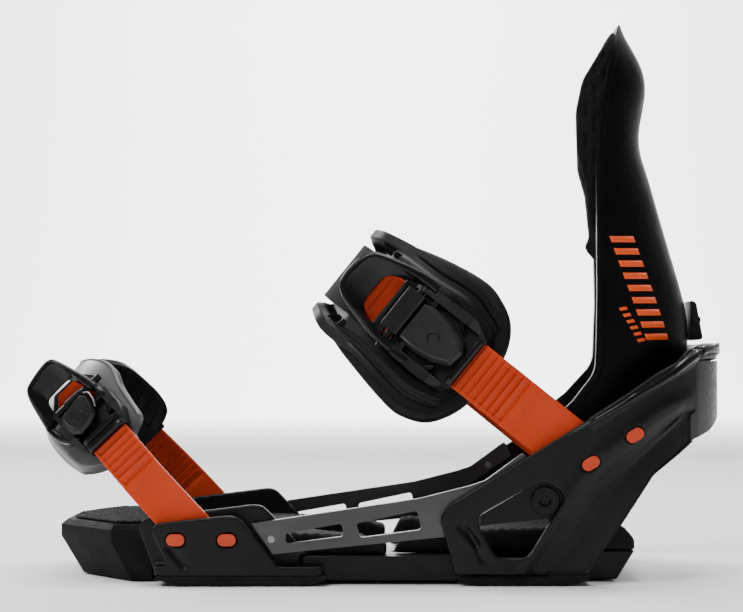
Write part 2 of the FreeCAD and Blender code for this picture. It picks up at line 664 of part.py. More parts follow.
# ---------------------------------------------------------------- straps
def strap_frame(pivot, angle):
    """Local x runs along the strap from its anchor, y is the binding's y, z lies across the strap."""
    return Placement(Vector(pivot[0], 0, pivot[1]), Rotation(Y_AXIS, 180 + angle))


def ladder_profile(lean, straight, bend, end, thick):
    """Side view of a ladder on the outer side: straight foot, a bend inwards, then straight again."""
    y_in, y_out = -60 + thick / 2, -60 - thick / 2
    turn = math.radians(lean)
    radius = bend / math.sin(turn)

    def at(reach, offset):
        centre = Vector(straight, -60 + radius, 0)
        return centre + Vector(math.sin(reach), -math.cos(reach), 0) * (radius + offset)

    leave = at(turn, 0)
    along = Vector(math.cos(turn), math.sin(turn), 0)
    out = Vector(math.sin(turn), -math.cos(turn), 0)
    tip = leave + along * (end - straight - bend)
    o, i = out * (thick / 2), out * (-thick / 2)
    drawn = [Part.LineSegment(Vector(0, y_out, 0), Vector(straight, y_out, 0)),
             Part.Arc(Vector(straight, y_out, 0), at(turn / 2, thick / 2), leave + o),
             Part.LineSegment(leave + o, tip + o * 0.6),
             Part.LineSegment(tip + o * 0.6, tip + i * 0.6),
             Part.LineSegment(tip + i * 0.6, leave + i),
             Part.Arc(leave + i, at(turn / 2, -thick / 2), Vector(straight, y_in, 0)),
             Part.LineSegment(Vector(straight, y_in, 0), Vector(0, y_in, 0)),
             Part.LineSegment(Vector(0, y_in, 0), Vector(0, y_out, 0))]
    return drawn, leave, turn


def ladder(name, prefix, width, lean, straight, bend, end, foot, teeth, clamp_start=None):
    """A ladder strap: round foot with its pin hole, and ratchet teeth cut across its outer face."""
    thick = mm("ladder_thick")
    profile, leave, turn = ladder_profile(lean, straight, bend, end, thick)
    band = prism(prefix + "_band", profile, f"Sizes.{width}")
    round_foot = cylinder(prefix + "_foot", foot, thick, Placement(Vector(0, -60 + thick / 2, 0),
            Rotation(X_AXIS, 90)))
    solid = join("Fuse", prefix + "_solid", band, round_foot)
    hole = cylinder(prefix + "_hole", "Sizes.pin_radius + Sizes.pin_play", 40,
                    Placement(Vector(0, -40, 0), Rotation(X_AXIS, 90)))
    along = Vector(math.cos(turn), math.sin(turn), 0)
    out = Vector(math.sin(turn), -math.cos(turn), 0)
    notch = []
    first, last, pitch, depth = teeth
    for i in range(int((last - first) / pitch)):
        root = leave + along * (first + i * pitch) + out * (thick / 2)
        notch.append([root, root + along * (pitch - 0.6), root + along * (pitch - 0.6) - out * depth])
    cutter = doc.addObject("Part::Feature", prefix + "_teeth")
    span = mm(width) - 4
    cutter.Shape = Part.makeCompound([
        Part.Face(Part.makePolygon(n + n[:1])).extrude(Vector(0, 0, span)).translated(Vector(0, 0,
                -span / 2)) for n in notch])
    tools = [hole, cutter]
    if clamp_start is not None:
        tools.append(rivet(prefix + "_clamp_hole", strap_frame_at(leave, turn, clamp_start), 8, 1.8, -6.0,
                           6.0))
    return join("Cut", name, solid, *tools), leave, turn


def buckle_frame(place, leave, turn, start):
    """Local x runs up the ladder from the buckle's mouth, -y points away from the boot."""
    along = Vector(math.cos(turn), math.sin(turn), 0)
    return place.multiply(Placement(leave + along * start, Rotation(Z_AXIS, math.degrees(turn))))


def buckle(prefix, at, size):
    """Ratchet buckle on a ladder: base, lever, drive pawl, release lever and their axles.
    size scales the plan; heights stay the same because both ladders are as thick."""
    half = size["half"]
    length = size["length"]
    floor_low, floor_high = 3.95, 2.0
    wall_x, wall_y = size["wall"], 7.6
    base_side = rounded([(-2.4, floor_low), (wall_x + 8, floor_low, 1), (wall_x + 8, floor_high),
                         (wall_x, floor_high),
                         (wall_x - 6, -wall_y, 3), (8, -wall_y, 4), (1.5, -4.2, 1), (-2.4, -4.0, 1)])
    block = prism(prefix + "_base_block", base_side, 2 * size["flare"])
    channel = rounded([(-20, floor_high), (length + 40, floor_high), (length + 40, -20), (1.6, -20),
                       (1.6, -2.0), (-20, -2.0)])
    inner = prism(prefix + "_base_channel", channel, 2 * (half - 1.9))
    flare = size["flare"]
    corner = size["axle"][0] - 6.8
    plan = rounded([(-2.4, -half + 2, 1), (6, -flare, 4), (corner, -flare), (corner, -half),
                    (wall_x + 2, -half), (wall_x + 8, -half + 5, 2), (wall_x + 8, half - 5, 2),
                    (wall_x + 2, half), (corner, half), (corner, flare), (6, flare, 4),
                    (-2.4, half - 2, 1)])
    outline = prism(prefix + "_base_plan", plan, 60, Placement(Vector(), Rotation(X_AXIS, 90)))
    solid = join("Cut", prefix + "_base_cut", join("Common", prefix + "_base_common", block, outline),
                 inner)
    axle_x, axle_y = size["axle"]
    release_x, release_y = size["release"]
    play = mm("pin_play")
    axles = [cylinder(f"{prefix}_axle_hole{i}", 1.6 + play, 80, Placement(Vector(x, y, -40), Rotation()))
             for i, (x, y) in enumerate(((axle_x, axle_y), (release_x, release_y)))]
    axles.append(rivet(prefix + "_rivet_hole", Placement(), size["rivet"], 2.4, 1.5, 5.0))
    piece(join("Cut", prefix + "_buckle_base", solid, *axles), prefix + "_buckle_base", at)

    pins = [cylinder(f"{prefix}_axle{i}", 1.6, 2 * reach, at.multiply(Placement(Vector(x, y, -reach),
            Rotation())))
            for i, (x, y, reach) in enumerate(((axle_x, axle_y, half + 3.4), (release_x, release_y, half)))]
    group(prefix + "_buckle_axles", pins)

    outer = half + 4.2
    lever_side = rounded([(axle_x - 5, -3.4, 2), (axle_x + 4, -1.6, 2), (wall_x + 4, -5.0, 12),
                          (length - 2, -10.6, 1.5),
                          (length, -14.2, 1.5), (wall_x + 2, -11.6, 12), (axle_x - 5, -8.2, 3)])
    lever_block = prism(prefix + "_lever_block", lever_side, 2 * outer + 2)
    lever_plan = rounded([(axle_x - 5, -outer + 1, 2), (axle_x + 6, -outer, 4),
                          (length * 0.69, -outer, 9), (length, -outer * 0.52, 5),
                          (length, outer * 0.52, 5), (length * 0.69, outer, 9), (axle_x + 6, outer,
                                  4), (axle_x - 5, outer - 1, 2)])
    plan_block = prism(prefix + "_lever_plan", lever_plan, 80, Placement(Vector(), Rotation(X_AXIS, 90)))
    gap = half + 0.4
    yoke = rounded([(-20, -gap), (wall_x + 3, -gap, 1.5), (wall_x + 3, gap, 1.5), (-20, gap)])
    yoke_cut = prism(prefix + "_lever_yoke", yoke, 80, Placement(Vector(), Rotation(X_AXIS, 90)))
    eye = rounded([(wall_x - 2, -gap + 2, 4), (length * 0.68, -gap + 2, 6),
                   (length - 7, -outer * 0.36, 4), (length - 7, outer * 0.36, 4),
                   (length * 0.68, gap - 2, 6), (wall_x - 2, gap - 2, 4)])
    eye_cut = prism(prefix + "_lever_eye", eye, 80, Placement(Vector(), Rotation(X_AXIS, 90)))
    bore = cylinder(prefix + "_lever_bore", 1.6 + play, 80, Placement(Vector(axle_x, axle_y, -40),
            Rotation()))
    shell = join("Common", prefix + "_lever_shell", lever_block, plan_block)
    piece(join("Cut", prefix + "_lever", shell, yoke_cut, eye_cut, bore), prefix + "_lever", at)

    pawl_side = rounded([(axle_x - 2.6, axle_y - 2.0, 1), (axle_x + 6.6, axle_y - 2.6, 1),
                         (axle_x + 8.6, -2.9, 0.5), (axle_x + 6.2, -2.2),
                         (axle_x + 3.6, -4.0, 1), (axle_x - 2.6, axle_y + 2.2, 1)])
    pawl = prism(prefix + "_pawl_block", pawl_side, 2 * (half - 2.4))
    pawl_bore = cylinder(prefix + "_pawl_bore", 1.6 + play, 80, Placement(Vector(axle_x, axle_y, -40),
            Rotation()))
    piece(join("Cut", prefix + "_drive_pawl", pawl, pawl_bore), prefix + "_drive_pawl", at)

    key_side = rounded([(3.0, -4.4, 1), (release_x - 9.0, -3.6), (release_x - 6.5, -2.1),
                        (release_x - 5.5, -3.4),
                        (release_x + 2.2, -3.2, 1), (release_x + 2.9, -5.6, 1), (release_x + 1.8, -8.6, 1),
                        (3.4, -8.2, 1.5), (0.6, -5.8, 1)])
    key = prism(prefix + "_release_block", key_side, 2 * (half - 2.4))
    key_plan = rounded([(0, -4.5, 2), (6, -half + 3.4, 2), (release_x + 4, -half + 2.4, 1),
                        (release_x + 4, half - 2.4, 1), (6, half - 3.4, 2), (0, 4.5, 2)])
    key_plan_block = prism(prefix + "_release_plan", key_plan, 80, Placement(Vector(), Rotation(X_AXIS,
            90)))
    key_bore = cylinder(prefix + "_release_bore", 1.6 + play, 80, Placement(Vector(release_x, release_y,
            -40), Rotation()))
    piece(join("Cut", prefix + "_release_lever", join("Common", prefix + "_release_solid", key,
                                                      key_plan_block), key_bore),
          prefix + "_release_lever", at)


def layer(name, foot, rise, across, thick, half, reach, droop):
    """A curved sheet of a strap: an elliptical arch, thick inwards, that reaches the given share of a
    quarter turn down each side and droops towards its two long edges."""
    rings = []
    for share in (-1.0, -0.55, 0.0, 0.55, 1.0):
        low = droop * share * share
        outer = arch(across - low * 0.6, rise - low, foot, -reach, reach)
        inner = arch(across - low * 0.6 - thick, rise - low - thick, foot, -reach, reach)[::-1]
        shift = Vector(0, 0, half * share)
        edges = [curve([p + shift for p in outer]).toShape(), Part.makeLine(outer[-1] + shift,
                inner[0] + shift),
                 curve([p + shift for p in inner]).toShape(), Part.makeLine(inner[-1] + shift,
                         outer[0] + shift)]
        rings.append(Part.Wire(edges))
    made = doc.addObject("Part::Feature", name)
    made.Shape = Part.makeLoft(rings, True, False)
    return made


def lobe(name, points):
    """Prism that trims a layer to its outline seen square to the strap; points are for one side."""
    edges = [(x, -z, r) for x, z, r in points] + [(x, z, r) for x, z, r in reversed(points)]
    return prism(name, rounded(edges), 200, Placement(Vector(), Rotation(X_AXIS, 90)))


CLAMP_DEPTH = 7.4
ANKLE_START, TOE_START = 8.0, 15.0
ANKLE_CLAMP, TOE_CLAMP = 12.0, 6.0
ANKLE_RIVET, TOE_RIVET = 18.0, 9.0
ANKLE_FOOT, ANKLE_RISE, ANKLE_ACROSS = 30.0, 113.4, 49.6
TOE_FOOT, TOE_RISE, TOE_ACROSS = 20.0, 80.5, 50.0


def ankle_strap():
    place = strap_frame(ANKLE_PIVOT, mm("strap_angle"))
    outer, leave, turn = ladder("ankle_ladder_outer_local", "ankle_outer", "ankle_width",
                                mm("ankle_lean"), 34, 30, 136, 12.5, (4, 70, 2.9, 1.2))
    piece(outer, "ankle_ladder_outer", place)
    inner, _, _ = ladder("ankle_ladder_inner_local", "ankle_inner", "ankle_width", mm("ankle_lean"), 34,
                         30, 100, 12.5, (30, 34, 2.9, 1.2), ANKLE_CLAMP)
    inner.Placement = place
    mirrored(inner, "ankle_ladder_inner")
    fixing = strap_frame_at(leave, turn, ANKLE_START)
    far_fixing = flipped(strap_frame_at(leave, turn, ANKLE_CLAMP))
    band = layer("ankle_band_layer", ANKLE_FOOT, ANKLE_RISE, ANKLE_ACROSS, 2.6, mm("band_width") / 2,
                 0.78, 0)
    drills = [rivet("ankle_band_drill0", fixing, ANKLE_RIVET, 2.4, 2.0, 7.0),
              cylinder("ankle_band_drill1", 1.8, 12, far_fixing.multiply(Placement(Vector(8, 4.4, 0),
                      Rotation(X_AXIS, 90))))]
    piece(join("Cut", "ankle_band", band, *drills), "ankle_band", place)
    piece(rivet("ankle_buckle_rivet", fixing, ANKLE_RIVET, 2.4, 2.0, 7.0), "ankle_buckle_rivet",
          place.multiply(fixing).multiply(Placement(Vector(ANKLE_RIVET, 7.0, 0), Rotation(X_AXIS, 90))))
    shell = layer("ankle_shell_layer", ANKLE_FOOT, ANKLE_RISE - 2.9, ANKLE_ACROSS - 2.9, 2.4,
                  mm("shell_width") / 2, 0.80, 0)
    trim = lobe("ankle_shell_trim", [(66, 20, 17), (90, 33, 26), (134, 29, 20), (150, 22, 1)])
    piece(join("Common", "ankle_shell_common", shell, trim), "ankle_shell", place)
    pad = layer("ankle_pad_layer", ANKLE_FOOT, ANKLE_RISE - 5.6, ANKLE_ACROSS - 5.6, 8.0,
                mm("pad_width") / 2, 0.84, 0)
    trim = lobe("ankle_pad_trim", [(59, 25, 21), (89, 39.5, 30), (134, 33, 20), (150, 25, 1)])
    piece(join("Common", "ankle_pad_common", pad, trim), "ankle_pad", place)
    at = buckle_frame(place, leave, turn, ANKLE_START)
    buckle("ankle", at, {"half": 15.6, "flare": 18.4, "length": 67.5, "wall": 42.0, "axle": (36.0, -5.4),
                         "release": (27.0, -5.2),
                        "rivet": ANKLE_RIVET})
    clamp("ankle", place, leave, turn, ANKLE_CLAMP, 15.5)


def strap_frame_at(leave, turn, start):
    """Frame on a ladder's straight part, in the strap's own frame."""
    along = Vector(math.cos(turn), math.sin(turn), 0)
    return Placement(leave + along * start, Rotation(Z_AXIS, math.degrees(turn)))


def rivet(name, frame, x, radius, outer, inner):
    """Round shank across a ladder's frame, from y = outer to y = inner (towards the boot)."""
    return cylinder(name, radius, inner - outer, frame.multiply(Placement(Vector(x, inner, 0),
            Rotation(X_AXIS, 90))))


def flipped(frame):
    """The same frame on the other side of the strap, for tools that drill what is mirrored."""
    return Placement(Vector(frame.Base.x, -frame.Base.y, frame.Base.z),
                     Rotation(Z_AXIS, -math.degrees(frame.Rotation.Angle)))


def clamp(prefix, place, leave, turn, start, half):
    """Screwed clamp that fixes the inner ladder to the strap."""
    along_frame = strap_frame_at(leave, turn, start)
    ring = rounded([(0, 3.9, 0.5), (16, 3.9, 0.5), (16, -4.2, 2), (0, -4.2, 2)])
    body = prism(prefix + "_clamp_block", ring, 2 * half)
    hole = prism(prefix + "_clamp_hole", rounded([(-9, 1.95), (30, 1.95), (30, -1.95), (-9, -1.95)]),
                 2 * half - 4.0)
    shank = cylinder(prefix + "_clamp_bore", 1.8, 30, Placement(Vector(8, 15, 0), Rotation(X_AXIS, 90)))
    made = join("Cut", prefix + "_clamp_local", body, hole, shank)
    made.Placement = place.multiply(along_frame)
    mirrored(made, prefix + "_clamp")
    frame = place.multiply(along_frame)
    head = cylinder(prefix + "_clamp_head", 3.6, 1.6, frame.multiply(Placement(Vector(8, -4.2, 0),
            Rotation(X_AXIS, 90))))
    pin = rivet(prefix + "_clamp_pin", frame, 8, 1.8, -4.3, CLAMP_DEPTH)
    mirrored(join("Fuse", prefix + "_clamp_screw_near", head, pin), prefix + "_clamp_screw")


def toe_strap():
    place = strap_frame(TOE_PIVOT, mm("toe_angle"))
    outer, leave, turn = ladder("toe_ladder_outer_local", "toe_outer", "toe_width", mm("toe_lean"), 20,
                                30, 94, 9.75, (0, 42, 2.6, 1.1))
    piece(outer, "toe_ladder_outer", place)
    inner, _, _ = ladder("toe_ladder_inner_local", "toe_inner", "toe_width", mm("toe_lean"), 20, 30, 76,
                         9.75, (0, 6, 2.6, 1.1), TOE_CLAMP)
    inner.Placement = place
    mirrored(inner, "toe_ladder_inner")
    cap = layer("toe_cap_layer", TOE_FOOT, TOE_RISE, TOE_ACROSS, 4.0, mm("cap_width") / 2, 0.72, 9.0)
    trim = lobe("toe_cap_trim", [(44, 14, 9), (66, 23.5, 14), (94, 21, 12), (120, 8, 1)])
    hole = prism("toe_cap_hole", rounded([(-34, -9, 8), (34, -9, 8), (34, 9, 8), (-34, 9, 8)]), 100,
                 Placement(Vector(80, 0, 0), FROM_BEHIND))
    fixing = strap_frame_at(leave, turn, TOE_START)
    far_fixing = flipped(strap_frame_at(leave, turn, TOE_CLAMP))
    drills = [rivet("toe_cap_drill0", fixing, TOE_RIVET, 2.4, 2.0, 9.0),
              cylinder("toe_cap_drill1", 1.8, 12, far_fixing.multiply(Placement(Vector(8, 4.4, 0),
                      Rotation(X_AXIS, 90))))]
    solid = join("Cut", "toe_cap_cut", join("Common", "toe_cap_common", cap, trim), hole, *drills)
    piece(solid, "toe_cap", place)
    piece(rivet("toe_buckle_rivet", fixing, TOE_RIVET, 2.4, 2.0, 9.0), "toe_buckle_rivet",
          place.multiply(fixing).multiply(Placement(Vector(TOE_RIVET, 9.0, 0), Rotation(X_AXIS, 90))))
    at = buckle_frame(place, leave, turn, TOE_START)
    buckle("toe", at, {"half": 12.6, "flare": 14.6, "length": 46.2, "wall": 28.0, "axle": (23.0, -5.4),
                       "release": (15.5, -5.2),
                      "rivet": TOE_RIVET})
    clamp("toe", place, leave, turn, TOE_CLAMP, 12.0)


# ---------------------------------------------------------------- buttons, pins and fasteners
def button(name, x, z, angle):
    shape = stadium(x, z, mm("button_long"), mm("button_wide"), angle)
    front = mm("outer_back") + mm("button_proud")
    return pad_body("outer_" + name, shape, "Sizes.button_deep", place=side(-front + mm("button_deep")))


def buttons():
    spots = [("toe_button_front", TOE_BUTTONS[0], TOE_BUTTON_Z, 0), ("toe_button_rear", TOE_BUTTONS[1],
            TOE_BUTTON_Z, 0),
             ("ankle_button", *ANKLE_PIVOT, RIM_ANGLE), ("highback_button", *HIGHBACK_PIVOT, RIM_ANGLE)]
    for name, x, z, angle in spots:
        mirrored(button(name, x, z, angle), "inner_" + name)


def anchor_pins():
    """Pins that the ladders' feet and the highback turn on, each with a thin flange on the outer wall."""
    wall = mm("outer_face")
    kinds = (("ankle_anchor_pins", "pin_radius", ANKLE_PIVOT, mm("middle_face"), wall),
             ("toe_anchor_pins", "pin_radius", TOE_PIVOT, mm("middle_face"), wall),
             ("highback_pins", "pivot_radius", HIGHBACK_PIVOT, 52.4, 58.7))
    for label, radius, (x, z), start, rim in kinds:
        members = []
        for i, sign in enumerate((-1, 1)):
            shaft = y_pin(f"{label}_shaft{i}", f"Sizes.{radius}", *sorted((sign * start, sign * wall)), x,
                          z)
            solids = [y_pin(f"{label}_flange{i}", 6.6, *sorted((sign * (rim - 0.45), sign * rim)), x, z)]
            if start < mm("inner_face"):
                solids.append(y_pin(f"{label}_head{i}", 5.6,
                                    *sorted((sign * start, sign * (start + 0.9))), x, z))
            members.append(join("Fuse", f"{label}{i}", shaft, *solids))
        group(label, members)


def heelcup_bolts():
    """Socket-head bolts through the uprights, with nuts on the inside."""
    x, z = CUP_BOLT
    bolts, nuts = [], []
    for i, sign in enumerate((-1, 1)):
        shank = y_pin(f"cup_bolt_shank{i}", 4.0, *sorted((sign * 55.0, sign * 62.0)), x, z)
        head = y_pin(f"cup_bolt_head{i}", 6.4, *sorted((sign * 62.0, sign * 64.8)), x, z)
        hexagon = [(x + 2.6 * math.cos(math.radians(60 * k)),
                    z + 2.6 * math.sin(math.radians(60 * k))) for k in range(6)]
        socket = prism(f"cup_bolt_socket{i}", rounded(hexagon), 4.0, side(sign * 64.8))
        bolts.append(join("Cut", f"cup_bolt{i}", join("Fuse", f"cup_bolt_solid{i}", shank, head), socket))
        disc = y_pin(f"cup_nut_disc{i}", 6.6, *sorted((sign * 55.2, sign * 58.0)), x, z)
        bore = y_pin(f"cup_nut_bore{i}", 4.0, -80, 80, x, z)
        nuts.append(join("Cut", f"cup_nut{i}", disc, bore))
    group("heelcup_bolts", bolts)
    group("heelcup_nuts", nuts)


def frame_screws():
    """Screws that hold the centre plate's tongues to the toe frame and the heel base."""
    made = []
    for i, (x, y) in enumerate(SCREWS):
        shank = cylinder(f"frame_screw_shank{i}", 2.1, 7.7, Placement(Vector(x, y, 4.9), Rotation()))
        head = cylinder(f"frame_screw_head{i}", SCREW_HEAD, 1.4, Placement(Vector(x, y, mm("plate_top")),
                Rotation()))
        made.append(join("Fuse", f"frame_screw{i}", shank, head))
    group("frame_screws", made)


def bridge_screws():
    group("heel_bridge_screws", bridge_screw_shanks("bridge_screw"))


def build():
    centre_plate()
    mounting_disc()
    foam_pad("front_base_pad", -97.0, -20.5, 66.0)
    foam_pad("rear_base_pad", 38.0, 98.0, 64.5)
    side_rails()
    toe_frame()
    toe_ramp()
    footbed()
    heel_base()
    heelcup()
    heel_bridge()
    highback()
    lean_adjuster()
    ankle_strap()
    toe_strap()
    buttons()
    anchor_pins()
    heelcup_bolts()
    frame_screws()
    rail_screws()
    bridge_screws()


def export():
    """Checks every object and writes each sub-part's STEP file."""
    doc.recompute()
    for made in doc.Objects:
        if "Invalid" in made.State or "Error" in made.State:
            raise ValueError(f"{made.Name} failed: {made.State}")
    os.makedirs("parts", exist_ok=True)
    for made in pieces:
        shape = made.Shape
        if shape.isNull() or not shape.isValid() or not shape.Solids:
            raise ValueError(f"{made.Label} is not a valid solid")
        shape.exportStep(f"parts/{made.Label}.step")
    print(len(pieces), "sub-parts written")


build()
export()
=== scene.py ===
"""Looks for the strap binding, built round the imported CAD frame. Lengths are in millimetres in the
row frame and become metres in new_piece(). The studio, the camera and the shaders are in metres."""
import json
import math

import bmesh
import bpy
from mathutils import Matrix, Vector, noise
from mathutils.bvhtree import BVHTree

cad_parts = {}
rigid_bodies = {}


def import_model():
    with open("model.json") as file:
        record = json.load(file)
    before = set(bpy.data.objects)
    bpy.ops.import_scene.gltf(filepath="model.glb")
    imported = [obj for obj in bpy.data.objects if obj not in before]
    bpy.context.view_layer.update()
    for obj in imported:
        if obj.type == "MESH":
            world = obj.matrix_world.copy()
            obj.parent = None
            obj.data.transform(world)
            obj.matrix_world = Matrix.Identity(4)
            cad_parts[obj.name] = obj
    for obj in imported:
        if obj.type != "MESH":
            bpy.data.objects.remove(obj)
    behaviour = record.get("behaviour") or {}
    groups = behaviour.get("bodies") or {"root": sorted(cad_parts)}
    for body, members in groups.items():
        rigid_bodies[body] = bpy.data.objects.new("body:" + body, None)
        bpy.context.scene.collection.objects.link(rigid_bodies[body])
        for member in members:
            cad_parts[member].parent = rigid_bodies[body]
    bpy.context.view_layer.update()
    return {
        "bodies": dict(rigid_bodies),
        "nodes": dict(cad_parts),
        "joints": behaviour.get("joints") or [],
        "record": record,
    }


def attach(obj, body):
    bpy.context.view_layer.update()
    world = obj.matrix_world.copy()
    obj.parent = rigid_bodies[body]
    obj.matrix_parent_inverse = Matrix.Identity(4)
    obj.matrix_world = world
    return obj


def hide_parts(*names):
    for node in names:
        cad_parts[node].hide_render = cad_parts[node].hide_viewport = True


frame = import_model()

nodes = frame["nodes"]
joints = {j["name"]: j for j in frame["joints"]}


# ------------------------------------------------------------------ materials
def shader(name, colour, rough, metallic=0.0, specular=0.5, coat=0.0, sheen=0.0):
    """A Principled material, with its node tree, its shader and its object coordinates."""
    made = bpy.data.materials.new(name)
    made.use_nodes = True
    tree = made.node_tree
    bsdf = tree.nodes["Principled BSDF"]
    bsdf.inputs["Base Color"].default_value = (*colour, 1)
    bsdf.inputs["Roughness"].default_value = rough
    bsdf.inputs["Metallic"].default_value = metallic
    bsdf.inputs["Specular IOR Level"].default_value = specular
    bsdf.inputs["Coat Weight"].default_value = coat
    bsdf.inputs["Coat Roughness"].default_value = 0.12
    bsdf.inputs["Sheen Weight"].default_value = sheen
    bsdf.inputs["Sheen Roughness"].default_value = 0.5
    where = tree.nodes.new("ShaderNodeTexCoord")
    return made, tree, bsdf, where.outputs["Object"]


def link(tree, a, b):
    """Joins an output to an input."""
    tree.links.new(a, b)


def node(tree, kind, **values):
    """A shader node. Each value sets the input of that name, or else the property."""
    made = tree.nodes.new("ShaderNode" + kind)
    for key, value in values.items():
        if key in made.inputs:
            made.inputs[key].default_value = value
        else:
            setattr(made, key, value)
    return made


def noisy(tree, where, scale, detail=3.0):
    """Noise over the piece."""
    made = node(tree, "TexNoise", Scale=scale, Detail=detail)
    link(tree, where, made.inputs["Vector"])
    return made.outputs["Fac"]


def spread(tree, value, low, high, from_low=0.3, from_high=0.7):
    """A value stretched from one range to another."""
    ranges = {"From Min": from_low, "From Max": from_high, "To Min": low, "To Max": high}
    made = node(tree, "MapRange", **ranges)
    link(tree, value, made.inputs["Value"])
    return made.outputs["Result"]


def shades(tree, value, dark, light):
    """Colour between a dark and a light shade."""
    ramp = node(tree, "ValToRGB")
    for stop, place, colour in zip(ramp.color_ramp.elements, (0.3, 0.7), (dark, light)):
        stop.position = place
        stop.color = (*colour, 1)
    link(tree, value, ramp.inputs["Fac"])
    return ramp.outputs["Color"]


def bumped(tree, bsdf, height, strength, distance=0.0002):
    """Small relief in the shading."""
    bump = node(tree, "Bump", Strength=strength, Distance=distance)
    link(tree, height, bump.inputs["Height"])
    link(tree, bump.outputs["Normal"], bsdf.inputs["Normal"])


def tinted(colour, share):
    """The same colour, darker or lighter."""
    return tuple(min(1.0, c * share) for c in colour)


def plastic(name, colour, rough, grain=1400.0, strength=0.12, vary=0.22, worn=2.6, **more):
    """Moulded plastic: fine spark-eroded grain, slight unevenness and edges rubbed paler."""
    made, tree, bsdf, where = shader(name, colour, rough, **more)
    cloud = noisy(tree, where, 38.0, 4.0)
    base = shades(tree, cloud, tinted(colour, 1 - vary), tinted(colour, 1 + vary))
    shape = node(tree, "NewGeometry")
    edge = spread(tree, shape.outputs["Pointiness"], 0.0, 1.0, 0.53, 0.62)
    scuff = node(tree, "Math", operation="MULTIPLY")
    link(tree, edge, scuff.inputs[0])
    link(tree, spread(tree, noisy(tree, where, 320.0, 5.0), 0.15, 0.8), scuff.inputs[1])
    mix = node(tree, "Mix", data_type="RGBA")
    colour_a, colour_b, mixed = mix.inputs[6], mix.inputs[7], mix.outputs[2]
    link(tree, scuff.outputs[0], mix.inputs["Factor"])
    link(tree, base, colour_a)
    colour_b.default_value = (*tinted(colour, worn), 1)
    link(tree, mixed, bsdf.inputs["Base Color"])
    uneven = spread(tree, noisy(tree, where, 90.0, 6.0), rough - 0.06, rough + 0.08)
    link(tree, uneven, bsdf.inputs["Roughness"])
    bumped(tree, bsdf, noisy(tree, where, grain, 2.0), strength)
    return made


def metal(name, colour, rough, streak=(1.0, 1.0, 1.0), strength=0.05):
    """Satin metal: streaks along the part, faint handling marks."""
    made, tree, bsdf, where = shader(name, colour, rough, metallic=1.0)
    stretch = node(tree, "Mapping")
    stretch.inputs["Scale"].default_value = streak
    link(tree, where, stretch.inputs["Vector"])
    grain = noisy(tree, stretch.outputs["Vector"], 600.0, 4.0)
    link(tree, shades(tree, noisy(tree, where, 30.0, 4.0), tinted(colour, 0.86), tinted(colour, 1.12)),
         bsdf.inputs["Base Color"])
    link(tree, spread(tree, grain, rough - 0.07, rough + 0.09), bsdf.inputs["Roughness"])
    bumped(tree, bsdf, grain, strength, 0.0001)
    return made


def foam(name, colour, rough=0.85, cell=1500.0, strength=0.5, sheen=0.15):
    """Closed-cell foam: a skin of small cells, matt, with paler dust on it."""
    made, tree, bsdf, where = shader(name, colour, rough, sheen=sheen, specular=0.2)
    cells = node(tree, "TexVoronoi", Scale=cell)
    link(tree, where, cells.inputs["Vector"])
    link(tree, shades(tree, noisy(tree, where, 220.0, 6.0), tinted(colour, 0.7), tinted(colour, 1.5)),
         bsdf.inputs["Base Color"])
    link(tree, spread(tree, noisy(tree, where, 120.0), rough - 0.08, rough + 0.08), bsdf.inputs["Roughness"])
    bumped(tree, bsdf, cells.outputs["Distance"], strength, 0.0004)
    return made


BLACK = (0.0042, 0.0042, 0.0045)
MATERIALS = {
    "nylon": plastic("nylon_black", BLACK, 0.42, specular=0.22),
    "shell": plastic("shell_black", BLACK, 0.36, specular=0.05),
    "band": plastic("band_black", (0.006, 0.006, 0.0065), 0.62, grain=900.0, strength=0.2, specular=0.08),
    "gloss": plastic("plastic_gloss_black", (0.003, 0.003, 0.0034), 0.26, strength=0.04, specular=0.22,
                     coat=0.12),
    "cast": plastic("diecast_black_paint", (0.007, 0.007, 0.0075), 0.36, grain=2200.0, strength=0.06,
                    specular=0.3),
    "orange": plastic("strap_orange", (0.53, 0.046, 0.011), 0.5, grain=1100.0, strength=0.1, vary=0.08,
                      worn=1.25, specular=0.16),
    "orange_button": plastic("button_orange", (0.52, 0.050, 0.013), 0.36, strength=0.06, vary=0.06,
                             worn=1.2, specular=0.3),
    "orange_print": plastic("print_orange", (0.80, 0.085, 0.012), 0.5, strength=0.05, vary=0.06,
                            worn=1.0, specular=0.2),
    "cap": plastic("toe_cap_grey", (0.10, 0.10, 0.104), 0.34, grain=1800.0, strength=0.06, vary=0.14,
                   worn=1.6, specular=0.5),
    "rail": metal("rail_anodised", (0.085, 0.085, 0.088), 0.38, streak=(0.06, 1.0, 1.0)),
    "trim": metal("trim_satin_grey", (0.075, 0.075, 0.078), 0.40, streak=(1.0, 0.1, 1.0)),
    "dark_steel": metal("bolt_black_oxide", (0.02, 0.02, 0.02), 0.38),
    "steel": metal("pin_zinc", (0.26, 0.26, 0.26), 0.34),
    "eva": foam("eva_black", (0.005, 0.005, 0.0052), sheen=0.06),
    "rubber": foam("footbed_rubber", (0.006, 0.006, 0.0063), rough=0.7, cell=900.0, strength=0.25,
                   sheen=0.03),
    "pad": foam("pad_soft_foam", (0.004, 0.004, 0.0043), rough=0.55, cell=2200.0, strength=0.2,
                sheen=0.03),
}
SLOT_LOOKS = {
    "black_nylon": "nylon", "black_gloss": "gloss", "rail_metal": "rail", "cup_trim": "trim",
    "dark_steel": "dark_steel", "steel": "steel", "orange_plastic": "orange",
    "orange_button": "orange_button", "toe_cap_plastic": "cap", "eva_foam": "eva",
    "footbed_rubber": "rubber", "pad_foam": "pad", "buckle_metal": "cast",
}
OWN_LOOKS = {"ankle_band": "band", "toe_ramp": "band", "highback_shell": "shell",
             "ankle_buckle_axles": "dark_steel", "toe_buckle_axles": "dark_steel"}
